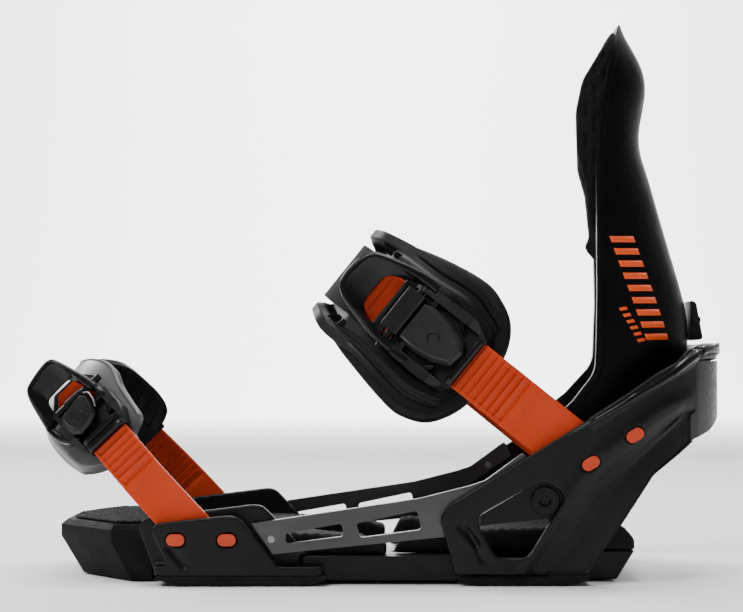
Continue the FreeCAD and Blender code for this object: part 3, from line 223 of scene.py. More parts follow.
for part in frame["record"]["subparts"]:
    piece = nodes[part["node"]]
    piece.data.materials.clear()
    look = OWN_LOOKS.get(part["node"], SLOT_LOOKS[part["material_slot"]])
    piece.data.materials.append(MATERIALS[look])


# ------------------------------------------------------------------ CAD nodes
def soften(name, width):
    """Rounds a CAD node's sharp edges, as a mould or a die leaves them."""
    piece = nodes[name]
    weld = piece.modifiers.new("weld", "WELD")
    weld.merge_threshold = 0.00001
    flat = piece.modifiers.new("flat", "DECIMATE")
    flat.decimate_type = "DISSOLVE"
    flat.angle_limit = math.radians(1.0)
    bevel = piece.modifiers.new("edge", "BEVEL")
    bevel.width = width / 1000
    bevel.segments = 3
    bevel.limit_method = "ANGLE"
    bevel.angle_limit = math.radians(32.0)
    bevel.miter_outer = "MITER_ARC"
    for face in piece.data.polygons:
        face.use_smooth = True
    smooth = piece.modifiers.new("normals", "WEIGHTED_NORMAL")
    smooth.keep_sharp = True


FINE_EDGE = 0.3
EDGES = {"toe_ramp": 1.2, "centre_plate": 0.8, "heel_base": 0.6, "heel_riser": 1.0, "outer_side_rail": 0.7,
         "inner_side_rail": 0.7, "heelcup_bolts": 0.5, "ankle_buckle_base": 0.5, "toe_buckle_base": 0.5,
         "mounting_disc": 0.5, "lean_block": 0.5, "heel_bridge": 0.6}
for name in nodes:
    soften(name, EDGES.get(name, FINE_EDGE))


# ------------------------------------------------------------------ mesh tools
def lerp(a, b, share):
    """Between two values, a at 0 and b at 1."""
    return a + (b - a) * share


def ease(value, low, high):
    """0 below low, 1 above high, smooth between them."""
    share = min(1.0, max(0.0, (value - low) / (high - low)))
    return share * share * (3 - 2 * share)


def through(points, value):
    """Smooth curve through (place, height) points, read at one place."""
    if value <= points[0][0]:
        return points[0][1]
    for i, (high, _) in enumerate(points[1:], start=1):
        if value <= high:
            before = points[max(i - 2, 0)]
            a, b = points[i - 1], points[i]
            after = points[min(i + 1, len(points) - 1)]
            span = b[0] - a[0]
            share = (value - a[0]) / span
            lean_a = (b[1] - before[1]) / (b[0] - before[0]) * span
            lean_b = (after[1] - a[1]) / (after[0] - a[0]) * span
            s2, s3 = share ** 2, share ** 3
            return ((2 * s3 - 3 * s2 + 1) * a[1] + (s3 - 2 * s2 + share) * lean_a
                    + (3 * s2 - 2 * s3) * b[1] + (s3 - s2) * lean_b)
    return points[-1][1]


def spline(points, count):
    """Smooth open curve through flat points, count samples from each point to the next."""
    found = []
    for i in range(len(points) - 1):
        near = (max(i - 1, 0), i, i + 1, min(i + 2, len(points) - 1))
        before, a, b, after = (Vector(points[k]) for k in near)
        for k in range(count):
            t = k / count
            found.append(a + (b - before) * (t / 2) + (before * 2 - a * 5 + b * 4 - after) * (t * t / 2)
                         + (a * 3 - before - b * 3 + after) * (t ** 3 / 2))
    return found + [Vector(points[-1])]


def new_piece(name, points, faces, look, body, replaces=(), bevel=0.0, angle=35.0, subdivide=0):
    """A mesh piece that rides on a body. Points are in millimetres in the row frame."""
    mesh = bpy.data.meshes.new(name)
    mesh.from_pydata([Vector(p) / 1000 for p in points], [], faces)
    work = bmesh.new()
    work.from_mesh(mesh)
    bmesh.ops.remove_doubles(work, verts=work.verts, dist=0.000002)
    bmesh.ops.recalc_face_normals(work, faces=work.faces)
    work.to_mesh(mesh)
    work.free()
    mesh.materials.append(MATERIALS[look])
    made = bpy.data.objects.new(name, mesh)
    bpy.context.scene.collection.objects.link(made)
    for face in mesh.polygons:
        face.use_smooth = True
    if subdivide:
        made.modifiers.new("smooth", "SUBSURF").levels = subdivide
        made.modifiers["smooth"].render_levels = subdivide
    if bevel:
        edge = made.modifiers.new("edge", "BEVEL")
        edge.width = bevel / 1000
        edge.segments = 3
        edge.limit_method = "ANGLE"
        edge.angle_limit = math.radians(angle)
        made.modifiers.new("normals", "WEIGHTED_NORMAL").keep_sharp = True
    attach(made, body)
    if replaces:
        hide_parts(*replaces)
    return made


def apply(piece):
    """Turns a piece's modifiers into its mesh."""
    bpy.context.view_layer.update()
    graph = bpy.context.evaluated_depsgraph_get()
    mesh = bpy.data.meshes.new_from_object(piece.evaluated_get(graph), depsgraph=graph)
    old = piece.data
    piece.modifiers.clear()
    piece.data = mesh
    mesh.name = piece.name
    bpy.data.meshes.remove(old)


def grid_faces(rows, cols, start=0, wrap=False):
    """Quads between rows of points; wrap joins each row's ends."""
    found = []
    for i in range(rows - 1):
        for j in range(cols if wrap else cols - 1):
            k = (j + 1) % cols
            here, above = start + i * cols, start + (i + 1) * cols
            found.append((here + j, here + k, above + k, above + j))
    return found


def swept(rings, closed=False):
    """Skin over rings of points that all have the same count; open ends are capped."""
    count = len(rings[0])
    points = [p for ring in rings for p in ring]
    faces = grid_faces(len(rings), count, wrap=True)
    if closed:
        last = (len(rings) - 1) * count
        faces += [(last + j, last + (j + 1) % count, (j + 1) % count, j) for j in range(count)]
    else:
        faces += [tuple(range(count))[::-1], tuple(range(len(points) - count, len(points)))]
    return points, faces


def plate(outer, inner):
    """Closed sheet between two grids of points of the same size."""
    rows, cols = len(outer), len(outer[0])
    points = [p for row in outer for p in row] + [p for row in inner for p in row]
    far = rows * cols
    faces = grid_faces(rows, cols) + [f[::-1] for f in grid_faces(rows, cols, far)]
    border = [(0, j) for j in range(cols - 1)] + [(i, cols - 1) for i in range(rows - 1)]
    border += [(rows - 1, j) for j in range(cols - 1, 0, -1)] + [(i, 0) for i in range(rows - 1, 0, -1)]
    index = [i * cols + j for i, j in border]
    for a, b in zip(index, index[1:] + index[:1]):
        faces.append((a, b, b + far, a + far))
    return points, faces


# ------------------------------------------------------------------ strap frames
LADDER_Y = -60      # centre lines of the ladders where they leave the side walls


def joint_place(name):
    """Where a joint's axis lies, in millimetres."""
    return Vector(joints[name]["pos_m"]) * 1000


class Frame:
    """Local axes on the binding: x along, y across the binding, z square to both."""
    def __init__(self, origin, x_axis, y_axis):
        x_axis, y_axis = Vector(x_axis).normalized(), Vector(y_axis).normalized()
        self.turn = Matrix((x_axis, y_axis, x_axis.cross(y_axis))).transposed()
        self.origin = Vector(origin)

    def __call__(self, x, y, z):
        return self.origin + self.turn @ Vector((x, y, z))

    def back(self, point):
        """A point of the row frame in these axes."""
        return self.turn.transposed() @ (Vector(point) - self.origin)


def strap(pivot, rise):
    """Frame of a strap: its anchor pin, and how steeply it rises towards the toe."""
    lean = math.radians(rise)
    return Frame((pivot.x, 0, pivot.z), (-math.cos(lean), 0, math.sin(lean)), (0, 1, 0))


def seat(frame, straight, bend, lean, start):
    """Frame of a buckle on the leaned part of the outer ladder."""
    turn = math.radians(lean)
    along = Vector((math.cos(turn), math.sin(turn), 0))
    spot = Vector((straight + bend, LADDER_Y + bend * math.tan(turn / 2), 0)) + along * start
    return Frame(frame(*spot), frame.turn @ along, frame.turn @ Vector((-math.sin(turn), math.cos(turn), 0)))


ANKLE = strap(joint_place("ankle_strap_swing"), 38.9)
TOE = strap(joint_place("toe_strap_swing"), 46.6)
ANKLE_BEND = (34, 30, 18)
TOE_BEND = (20, 30, 24)
ANKLE_SEAT = seat(ANKLE, *ANKLE_BEND, 8)
TOE_SEAT = seat(TOE, *TOE_BEND, 15)


# ------------------------------------------------------------------ ladders
def ladder_line(straight, bend, lean, reach, offset):
    """Point at one distance along a ladder's centre line, moved out of the boot by offset."""
    turn = math.radians(lean)
    radius = bend / math.sin(turn)
    arc = radius * turn
    if reach < straight:
        return Vector((reach, LADDER_Y - offset, 0))
    if reach < straight + arc:
        angle = (reach - straight) / radius
        centre = Vector((straight, LADDER_Y + radius, 0))
        return centre + Vector((math.sin(angle), -math.cos(angle), 0)) * (radius + offset)
    leave = Vector((straight + bend, LADDER_Y + bend * math.tan(turn / 2), 0))
    along = Vector((math.cos(turn), math.sin(turn), 0))
    return leave + along * (reach - straight - arc) + Vector((math.sin(turn), -math.cos(turn), 0)) * offset


LADDER_NODES = {"ankle_strap_outer_ladder": "ankle_ladder_outer",
                "ankle_strap_inner_ladder": "ankle_ladder_inner",
                "toe_strap_outer_ladder": "toe_ladder_outer", "toe_strap_inner_ladder": "toe_ladder_inner"}
TOOTH_HEIGHTS = {"foot": 0.0, "plain": 0.0, "root": -1.0, "wall": -0.9, "tip": -0.05, "edge": 0.0}


def ladder(name, frame, bends, half, foot, length, teeth, side, body, boot_teeth=0.0, depth=1.2, thick=3.5):
    """Ratchet strap: rounded foot, a shallow pocket, then saw teeth between two thin borders.
    boot_teeth is how deep the teeth also show on the face towards the boot."""
    pitch, first, last = teeth
    steps = 7
    stations = [(-foot * math.cos(math.radians(90 * i / steps)), "foot") for i in range(steps)]
    at = 0.0
    while at < first:
        stations.append((at, "plain"))
        at += 2.0
    at = first
    while at < last:
        stations += [(at, "root"), (at + pitch * 0.08, "wall"),
                     (at + pitch * 0.86, "tip"), (at + pitch * 0.95, "edge")]
        at += pitch
    stations.append((at, "plain"))
    stations += [(length - back, "plain") for back in (5.0, 3.2, 1.4, 0.0) if length - back > at]
    outer, inner = [], []
    shares = (-1.0, -0.965, -0.86, -0.84, -0.4, 0.0, 0.4, 0.84, 0.86, 0.965, 1.0)
    for reach, kind in stations:
        if reach < 0:
            width = min(math.sqrt(max(foot ** 2 - reach ** 2, 0.5)), half)
        else:
            width = half - 0.9 * max(0.0, reach - length + 5.0)
        top, bottom = [], []
        for share in shares:
            inside, at_edge = abs(share) < 0.85, abs(share) > 0.99
            height = thick / 2
            if kind in ("root", "wall", "tip", "edge"):
                height += depth * TOOTH_HEIGHTS[kind] * (1.0 if inside else 0.6)
            elif inside and first * 0.38 < reach < first * 0.86 and abs(share) < 0.5 + 0.34 * (reach / first):
                height -= 0.8
            if at_edge:
                height -= 0.35
            top.append(ladder_line(*bends, reach, height))
            under = -thick / 2 + (0.3 if at_edge else 0.0)
            under -= boot_teeth * TOOTH_HEIGHTS[kind] * (1.0 if inside else 0.3)
            bottom.append(ladder_line(*bends, reach, under))
        for line, found in ((top, outer), (bottom, inner)):
            row = []
            for share, p in zip(shares, line):
                spot = frame(p.x, p.y, share * width)
                row.append(Vector((spot.x, spot.y * side, spot.z)))
            found.append(row)
    points, faces = plate(outer, inner)
    return new_piece(name, points, faces, "orange", body,
                     replaces=(LADDER_NODES[name],), bevel=0.18, angle=28)


# ------------------------------------------------------------------ buckles
def lever(name, seat_frame, outer, eye, rim, look, body, replaces):
    """Buckle lever: a loop with a thick round rim and a funnel that leads down to the eye.
    outer and eye pair up point by point, from one leg round the tip to the other leg."""
    line, hole = spline(outer, 6), spline(eye, 6)
    root, tip = outer[0][0], max(p[0] for p in outer)
    rings = []
    for p, e in zip(line, hole):
        share = min(1.0, max(0.0, (p.x - root) / (tip - root)))
        inward = (e - p).normalized()
        r = p + inward * rim
        if (e - p).length < rim + 0.3:
            e = r + inward * 0.3
        top = lerp(-8.2, -14.2, ease(share, 0.0, 1.0) * 0.55 + share * 0.45)
        floor_y = top + lerp(3.2, 5.6, share)
        mid = r.lerp(e, 0.5)
        mid_y = lerp(top + 0.5, floor_y, 0.5)
        profile = [(p + inward * 1.0, top + 5.0), (p, top + 3.9), (p, top + 1.7),
                   (p + inward * 0.35, top + 0.7), (p + inward * 1.1, top + 0.12),
                   (p.lerp(r, 0.5), top - 0.05), (r - inward * 0.9, top + 0.05),
                   (r - inward * 0.2, top + 0.4), (r, top + 0.9), (mid, mid_y), (e, floor_y),
                   (e, floor_y + 1.3), (mid, mid_y + 1.9), (r, top + 4.6)]
        rings.append([seat_frame(spot.x, y, spot.y) for spot, y in profile])
    points, faces = swept(rings)
    return new_piece(name, points, faces, look, body, replaces=replaces, bevel=0.3, angle=55)


def cheeks(name, seat_frame, lower, upper, rim, look, body):
    """Pair of side walls of a buckle's base that carry on the lever's legs down to the ladder."""
    points, faces = [], []
    for side, widths in ((1, lower), (-1, upper)):
        rings = []
        count = 14
        start, end = widths[0][0], widths[-1][0]
        for i in range(count + 1):
            reach = lerp(start, end, i / count)
            width = through(widths, reach)
            share = i / count
            top = lerp(-6.2, -8.1, ease(share, 0.0, 0.8))
            under = lerp(1.0, -1.5, share)
            section = [(0.5, under), (0.0, under - 1.2), (0.0, top + 1.4), (0.3, top + 0.5), (0.9, top),
                       (rim - 0.7, top), (rim, top + 0.7), (rim, under)]
            rings.append([seat_frame(reach, y, side * (width - inset_by)) for inset_by, y in section])
        p, f = swept(rings)
        faces += [tuple(i + len(points) for i in face) for face in f]
        points += p
    return new_piece(name, points, faces, look, body, bevel=0.3, angle=45)


def thumb_pad(name, seat_frame, outline, low, top, slope_from, slope, body, replaces):
    """Release lever's thumb plate: chamfered all round, sloped past slope_from, dished, with a ring mark."""
    flat = [Vector(p) for p in outline]
    centre = sum(flat, Vector((0, 0))) / len(flat)

    def height(x):
        return top + max(0.0, x - slope_from) * slope

    rings = []
    for by, lift in ((0.7, None), (0.0, None), (0.0, 1.5), (1.5, 0.0), (2.2, 0.02), (2.8, 0.3)):
        ring = []
        for p in flat:
            q = p + (centre - p).normalized() * by
            y = (low if by else low - 0.6) if lift is None else height(q.x) + lift
            ring.append(seat_frame(q.x, y, q.y))
        rings.append(ring)
    points, faces = swept(rings)
    mark = []
    for i in range(32):
        turn = 2 * math.pi * i / 32
        ring = []
        for k in (math.pi * j / 3 for j in range(6)):
            far = 3.0 + 0.34 * math.cos(k)
            ring.append(seat_frame(centre.x + far * math.cos(turn), top + 0.28 + 0.3 * math.sin(k),
                                   centre.y + far * math.sin(turn)))
        mark.append(ring)
    p, f = swept(mark, closed=True)
    faces += [tuple(i + len(points) for i in face) for face in f]
    points += p
    return new_piece(name, points, faces, "cast", body, replaces=replaces, bevel=0.25,
                     angle=20)


def deck(name, seat_frame, start, end, half, body):
    """Thin floor of a buckle over the ladder, with a raised edge where the ladder comes back into view; also
    a black strip of painted shadow past the ankle pawl.
    """
    section = [(start, -2.05), (start, -2.9), (end - 3.0, -2.9), (end - 2.2, -3.6), (end - 0.6, -3.6),
               (end, -3.0), (end, -2.05)]
    rings = [[seat_frame(x, y, z) for x, y in section] for z in (-half, -half * 0.5, 0.0, half * 0.5, half)]
    points, faces = swept(rings)
    return new_piece(name, points, faces, "nylon", body, bevel=0.2, angle=30)


def pawl(name, seat_frame, section, low, high, body, replaces):
    """Drive pawl: one section carried across the buckle."""
    rings = [[seat_frame(x, y, lerp(low, high, share)) for x, y in section]
             for share in (0.0, 0.25, 0.5, 0.75, 1.0)]
    points, faces = swept(rings)
    return new_piece(name, points, faces, "cast", body, replaces=replaces, bevel=0.3,
                     angle=30)


def bent_wire(name, seat_frame, path, height, radius, look, body):
    """Round wire that follows a flat path at one height over the ladder."""
    line = spline(path, 5)
    rings = []
    for i, p in enumerate(line):
        ahead = (line[min(i + 1, len(line) - 1)] - line[max(i - 1, 0)]).normalized()
        side = Vector((-ahead.y, ahead.x))
        rings.append([seat_frame(p.x + side.x * radius * math.cos(k), height + radius * 1.6 * math.sin(k),
                                 p.y + side.y * radius * math.cos(k))
                      for k in (math.pi * j / 4 for j in range(8))])
    points, faces = swept(rings)
    return new_piece(name, points, faces, look, body)


def mouth(name, seat_frame, section, low, high, body):
    """Bar over the ladder where it enters a buckle; its ends are drawn in a little."""
    rings = []
    for share in (0.0, 0.06, 0.12, 0.3, 0.5, 0.7, 0.88, 0.94, 1.0):
        z = lerp(low, high, share)
        shrink = 1.0 - 0.30 * (1 - ease(min(share, 1 - share), 0.0, 0.12))
        rings.append([seat_frame(x, -2.0 + (y + 2.0) * shrink, z) for x, y in section])
    points, faces = swept(rings)
    return new_piece(name, points, faces, "gloss", body, bevel=0.3, angle=30)


# ------------------------------------------------------------------ arched shells of the straps
def arched(axes, arch, rows, cols, ends, widths, outer, thick):
    """Closed curved sheet over the instep. arch is where the arch starts, how high it rises and its half
    width. ends is how far down each side the sheet reaches. widths gives its half width towards the heel
    and the toe, and perhaps towards the heel on the inner side, and outer its height off the arch."""
    foot, rise, across = arch
    full = math.acos(max(-1.0, min(1.0, (ends - foot) / rise)))
    tops, bottoms = [], []
    for i in range(rows + 1):
        side = -1 + 2 * i / rows
        turn = full * math.copysign(abs(side) ** 0.92, side)
        reach = foot + rise * math.cos(turn)
        top, bottom = [], []
        for j in range(cols + 1):
            share = -1 + 2 * j / cols
            table = 1 if share > 0 else 2 if side > 0 and len(widths) > 2 else 0
            z = share * through(widths[table], reach)
            lift = outer(reach, z, share)
            for line, height in ((top, lift), (bottom, lift - thick(reach, z, share))):
                x = foot + (rise + height) * math.cos(turn)
                y = (across + height) * math.sin(turn)
                line.append(axes(x, y, z))
        tops.append(top)
        bottoms.append(bottom)
    return plate(tops, bottoms)


ANKLE_ARCH = (30.0, 113.4, 49.6)
TOE_ARCH = (20.0, 81.4, 49.5)
PAD_REAR = [(58, 9), (60, 19), (64, 25.5), (70, 31), (78, 35), (89, 38), (108, 36), (126, 32), (138, 28),
            (144, 26)]
PAD_FRONT = [(58, 9), (60, 20), (63, 26), (70, 34), (78, 38), (88, 40), (117, 35.5), (134, 31), (144, 25.5)]


def inset(line, by, end):
    """The same outline moved inwards."""
    return [(place + end * (1 if i < 3 else 0.0),
             max(width - lerp(by, min(by, 1.6), ease(place, 112, 134)), 2.0))
            for i, (place, width) in enumerate(line)]


def shell_face(reach, z, share):
    """Ankle shell: a flat rim, a step up to the middle, and a grooved line round the step."""
    edge = 1 - abs(share)
    height = -3.2
    height += 1.6 * ease(edge, 0.20, 0.27)
    line = 1.3 * math.exp(-((edge - 0.42) / 0.014) ** 2)
    height -= line * ease(reach, 72, 78) * (1 - ease(reach, 112, 118))
    height -= 0.7 * math.exp(-((edge - 0.12) / 0.012) ** 2) * (1 - ease(reach, 118, 124))
    crest = ease(reach, 127, 140)
    horn = ease(abs(share), 0.66, 0.84)
    height += crest * lerp(-4.4, 3.6, horn)
    for place, half_long, half_wide in ((134.0, 2.3, 1.7), (128.6, 1.4, 1.3)):
        if abs(reach - place) < half_long and abs(abs(z) - 20.5) < half_wide:
            height -= 2.4
    return height


def ankle_shell():
    widths = (inset(PAD_REAR, 6.5, 5.5), inset(PAD_FRONT, 7.0, 5.5))
    points, faces = arched(ANKLE, ANKLE_ARCH, 190, 96, 63.5, widths, shell_face, lambda r, z, s: 2.6)
    return new_piece("ankle_strap_shell", points, faces, "nylon", "ankle_strap",
                     replaces=("ankle_shell",), bevel=0.6, angle=40)


def ankle_pad():
    """Foam pad under the shell, puffed by cloth pressure so that its border is crowned."""
    def face(reach, z, share):
        return -6.2 + ease(reach, 128, 141) * lerp(-2.5, 4.4, ease(abs(share), 0.70, 0.9))
    widths = (inset(PAD_REAR, 1.0, 1.0), inset(PAD_FRONT, 1.0, 1.0))
    points, faces = arched(ANKLE, ANKLE_ARCH, 84, 26, 59.5, widths, face, lambda r, z, s: 6.4)
    pad = new_piece("ankle_strap_pad", points, faces, "pad", "ankle_strap",
                    replaces=("ankle_pad",))
    puff(pad, 0.0026)
    return pad


def puff(piece, most):
    """Cloth simulation under inner pressure; no point moves further than most, in metres."""
    before = [v.co.copy() for v in piece.data.vertices]
    cloth = piece.modifiers.new("cloth", "CLOTH")
    cloth.settings.use_pressure = True
    cloth.settings.uniform_pressure_force = 4.0
    cloth.settings.effector_weights.gravity = 0.0
    cloth.settings.quality = 5
    scene = bpy.context.scene
    for number in range(1, 21):
        scene.frame_set(number)
        bpy.context.view_layer.update()
    apply(piece)
    scene.frame_set(1)
    for v, start in zip(piece.data.vertices, before):
        move = v.co - start
        if move.length > most:
            v.co = start + move * (most / move.length)
    soft = piece.modifiers.new("smooth", "SMOOTH")
    soft.iterations = 3
    soft.factor = 0.5
    piece.modifiers.new("finer", "SUBSURF").levels = 1
    apply(piece)
    for f in piece.data.polygons:
        f.use_smooth = True


CAP_OUTER = [(57, 9), (59, 14.5), (61, 17), (69.5, 18.2), (78, 19.4), (85.5, 21.6), (91, 20.6), (96, 16.8),
             (99, 13.0), (101.4, 9)]
CAP_INNER = [(56, 9), (58, 16), (61, 20), (68, 22.2), (78, 22.4), (86, 22.0), (91, 20.6), (96, 16.8),
             (99, 13.0), (101.4, 9)]
CAP_FRONT = [(55, 9), (57, 14.5), (60, 19), (64, 22.2), (75, 24.5), (89, 24), (96, 19), (100, 12), (101.4, 9)]


def cap_face(reach, z, share):
    """Toe cap: a broad smooth crown with a fine lip at its rear edge, drooping at the front."""
    height = 1.3 * ease(-z, 2.0, 16.0) if share < 0 else 1.2 * ease(z, 6, 16) - 2.0 * ease(z, 19, 23.5)
    height += 0.5 * math.exp(-((share + 0.955) / 0.02) ** 2)
    return height - 4.5 * ease(share, 0.84, 1.0) ** 2 - 0.9 * ease(-share, 0.975, 1.0)


def cap_thickness(reach, z, share):
    """Thin where the boot side has its grip pockets."""
    row = (reach + 0.35 * z) % 11.0
    pocket = -0.86 < share < 0 and abs(z) > 6.5 and 2.6 < row < 9.0 and 60 < reach < 97
    return 3.4 - (1.9 if pocket else 0.0)


def toe_cap():
    """Toe cap with a grey outer face and a black grip moulded to its inside."""
    widths = (CAP_OUTER, CAP_FRONT, CAP_INNER)
    points, faces = arched(TOE, TOE_ARCH, 170, 110, 55.5, widths, cap_face, cap_thickness)
    cap = new_piece("toe_strap_cap", points, faces, "cap", "toe_strap",
                    replaces=("toe_cap",), bevel=0.4, angle=40)
    cap.data.materials.append(MATERIALS["nylon"])
    for face in cap.data.polygons:
        spot = TOE.back(face.center * 1000)
        out = TOE.turn.transposed() @ face.normal
        if out.dot(Vector((spot.x - TOE_ARCH[0], spot.y * 2.7, 0)).normalized()) < 0.1:
            face.material_index = 1
    return cap


# ------------------------------------------------------------------ moulded foam and rubber pads
def remeshed(name, node_name, look, voxel, smooth):
    """A copy of a CAD solid on a fine even mesh, smoothed so that all of its edges are soft."""
    piece = bpy.data.objects.new(name, nodes[node_name].data.copy())
    bpy.context.scene.collection.objects.link(piece)
    piece.data.materials.clear()
    piece.data.materials.append(MATERIALS[look])
    remesh = piece.modifiers.new("remesh", "REMESH")
    remesh.mode = "VOXEL"
    remesh.voxel_size = voxel / 1000
    soft = piece.modifiers.new("soft", "SMOOTH")
    soft.iterations = smooth
    soft.factor = 0.5
    apply(piece)
    return piece


def stands_for(piece, node_name, body):
    """Shades a remeshed piece smoothly and puts it in its CAD node's place."""
    for f in piece.data.polygons:
        f.use_smooth = True
    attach(piece, body)
    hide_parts(node_name)


def moulded(name, node_name, look, body, voxel, pattern, smooth=3):
    """A pad in the shape of its CAD solid with soft edges and a pattern pressed into its faces."""
    piece = remeshed(name, node_name, look, voxel, smooth)
    normals = [n.vector.copy() for n in piece.data.vertex_normals]
    for v, normal in zip(piece.data.vertices, normals):
        v.co += normal * (pattern(v.co * 1000, normal) / 1000)
    stands_for(piece, node_name, body)


def studs(p, normal):
    """Rows of small round studs on an upper face."""
    if normal.z < 0.8:
        return 0.0
    pitch, row_share = 5.0, 0.866
    row = round(p.y / (pitch * row_share))
    x = (p.x + (row % 2) * pitch / 2) / pitch
    far = math.hypot((x - round(x)) * pitch, p.y - row * pitch * row_share)
    return 0.55 * (1 - ease(far, 1.2, 1.9)) - 0.15


def ribs(p, normal):
    """Short cross ribs on the ramp."""
    if normal.z < 0.8:
        return 0.0
    across = (p.x * 0.5 + p.y * 0.8) % 3.2
    along = (p.x * 0.8 - p.y * 0.5) % 3.2
    return 0.35 if across < 1.9 and along < 1.9 else -0.2


def rough(p, normal):
    """Open-cell unevenness."""
    return 0.18 * noise.noise(p * 0.45) + 0.1 * noise.noise(p * 1.1)


CALF_FRONT = [(150, 103.0), (163, 100.6), (184, 98.4), (197, 94.7), (216, 94.3), (231, 97.6), (256, 113.0)]


def calf_pad(p, normal):
    """Staggered upright slots in the lining's skin, clear of its border."""
    inside = min(p.x - through(CALF_FRONT, p.z) - (9.0 if p.y > 0 else 0.0), 252 - p.z, p.z - 160)
    arc = math.degrees(math.atan2(p.y, p.x - 84.0)) * 0.9
    column = math.floor(arc / 4.6)
    beside = arc - (column + 0.5) * 4.6
    rise = (p.z + (column % 2) * 7.0) % 14.0
    slot = (1 - ease(abs(beside), 0.5, 1.0)) * (1 - ease(abs(rise - 7.0), 3.9, 4.7))
    return -1.1 * slot * ease(inside, 1.6, 2.6)


# ------------------------------------------------------------------ heelcup
CREASE = [(66.0, -2.0), (75.0, 11.6), (87.0, 27.5), (98.8, 44.1), (104.6, 51.6), (120.3, 63.6),
          (134.0, 73.2), (150.0, 79.0), (160.0, 84.0)]
CUP_CREASE = spline(CREASE, 4)


def beyond(line, x, z):
    """Distance of a point from a line, positive below and behind it."""
    best, found = 1e9, 0.0
    for a, b in zip(line, line[1:]):
        span = b - a
        share = min(1.0, max(0.0, (Vector((x, z)) - a).dot(span) / span.length_squared))
        gap = Vector((x, z)) - (a + span * share)
        if gap.length < best:
            best = gap.length
            found = best if span.x * gap.y - span.y * gap.x < 0 else -best
    return found


def groove(p, start, end, depth):
    """Short round-ended groove pressed into a side wall."""
    spot, a, b = Vector((p.x, p.z)), Vector(start), Vector(end)
    share = min(1.0, max(0.0, (spot - a).dot(b - a) / (b - a).length_squared))
    return depth * (1 - ease((spot - a.lerp(b, share)).length, 0.9, 2.3))


def cup_relief(p):
    """Height added to the cup's sides: the lower back lies deeper under a soft crease, and a groove."""
    far = beyond(CUP_CREASE, p.x, p.z)
    deep = 2.3 * ease(far, -3.5, 1.5) * (1 - 0.35 * ease(far, 3.0, 16.0))
    swell = 0.9 * math.exp(-((far + 6.5) / 3.2) ** 2)
    return (1 - ease(p.x, 140, 158)) * (swell - deep) - groove(p, (40, 27), (47, 19), 1.1)


def toe_relief(p):
    """The groove in the toe frame's sides."""
    return -groove(p, (-91, 17.5), (-84, 9.4), 1.1)


def remoulded(name, node_name, relief):
    """A CAD wall with rounded edges and with relief on its outer faces."""
    piece = remeshed(name, node_name, "nylon", 0.75, 6)
    normals = [n.vector.copy() for n in piece.data.vertex_normals]
    for v, normal in zip(piece.data.vertices, normals):
        away = 1.0 if v.co.y > 0 else -1.0
        share = ease(normal.y * away, 0.45, 0.8)
        if share > 0:
            v.co.y += away * share * relief(v.co * 1000) / 1000
    stands_for(piece, node_name, "base")


def surface(node_name):
    """A CAD node's faces, ready for rays."""
    mesh = nodes[node_name].data
    return BVHTree.FromPolygons([v.co for v in mesh.vertices], [p.vertices for p in mesh.polygons])


RIM_RISE = [(86, 65.9), (93.4, 70.4), (110.4, 80.1), (121.7, 86.9), (133.1, 93.3), (144.4, 100.7),
            (151.0, 104.1), (156.0, 105.8), (168.0, 106.2)]
RIM_ROUND = [(86, 1.0), (93, 1.4), (110, 1.8), (122, 2.2), (133, 2.5), (144, 2.8), (151, 3.1), (156, 3.3),
             (168, 3.3)]


def cup_rim():
    """Round bead along the cup's upper edge, right round the heel."""
    tree = surface("heelcup")
    rings = []
    steps = 150
    for i in range(steps + 1):
        turn = math.radians(lerp(-101, 101, i / steps))
        way = Vector((math.cos(turn), math.sin(turn), 0))
        x = 100 + 60 * way.x
        spot = None
        for _ in range(4):
            z = through(RIM_RISE, x)
            start = (Vector((100, 0, z - 1.6)) + way * 120) / 1000
            hit = tree.ray_cast(start, -way)[0]
            if hit is None:
                break
            spot = hit * 1000
            x = spot.x
        if spot is None:
            continue
        fade = min(1.0, 0.25 + 0.75 * min(i, steps - i) / 5)
        radius = through(RIM_ROUND, spot.x) * fade
        centre = Vector((spot.x, spot.y, z)) - way * (radius * lerp(0.25, 0.9, ease(spot.x, 138, 158)))
        rings.append([centre + way * (radius * math.cos(k)) + Vector((0, 0, radius * math.sin(k)))
                      for k in (math.pi * j / 8 for j in range(16))])
    points, faces = swept(rings)
    return new_piece("heelcup_rim", points, faces, "gloss", "base", subdivide=1)


# ------------------------------------------------------------------ highback trim
def on_side(tree, x, z):
    """Where a ray from the buckle side meets a surface, in millimetres."""
    return tree.ray_cast(Vector((x / 1000, -0.2, z / 1000)), Vector((0, 1, 0)))[0] * 1000


# start and end of a row, number of bars, half length and half width of a bar, and its slant
BAR_ROWS = ((Vector((114.8, 156.5)), Vector((131.2, 112.0)), 9, 5.6, 1.5, 1.9),
            (Vector((114.6, 124.6)), Vector((123.2, 110.4)), 6, 1.7, 0.8, 0.6))


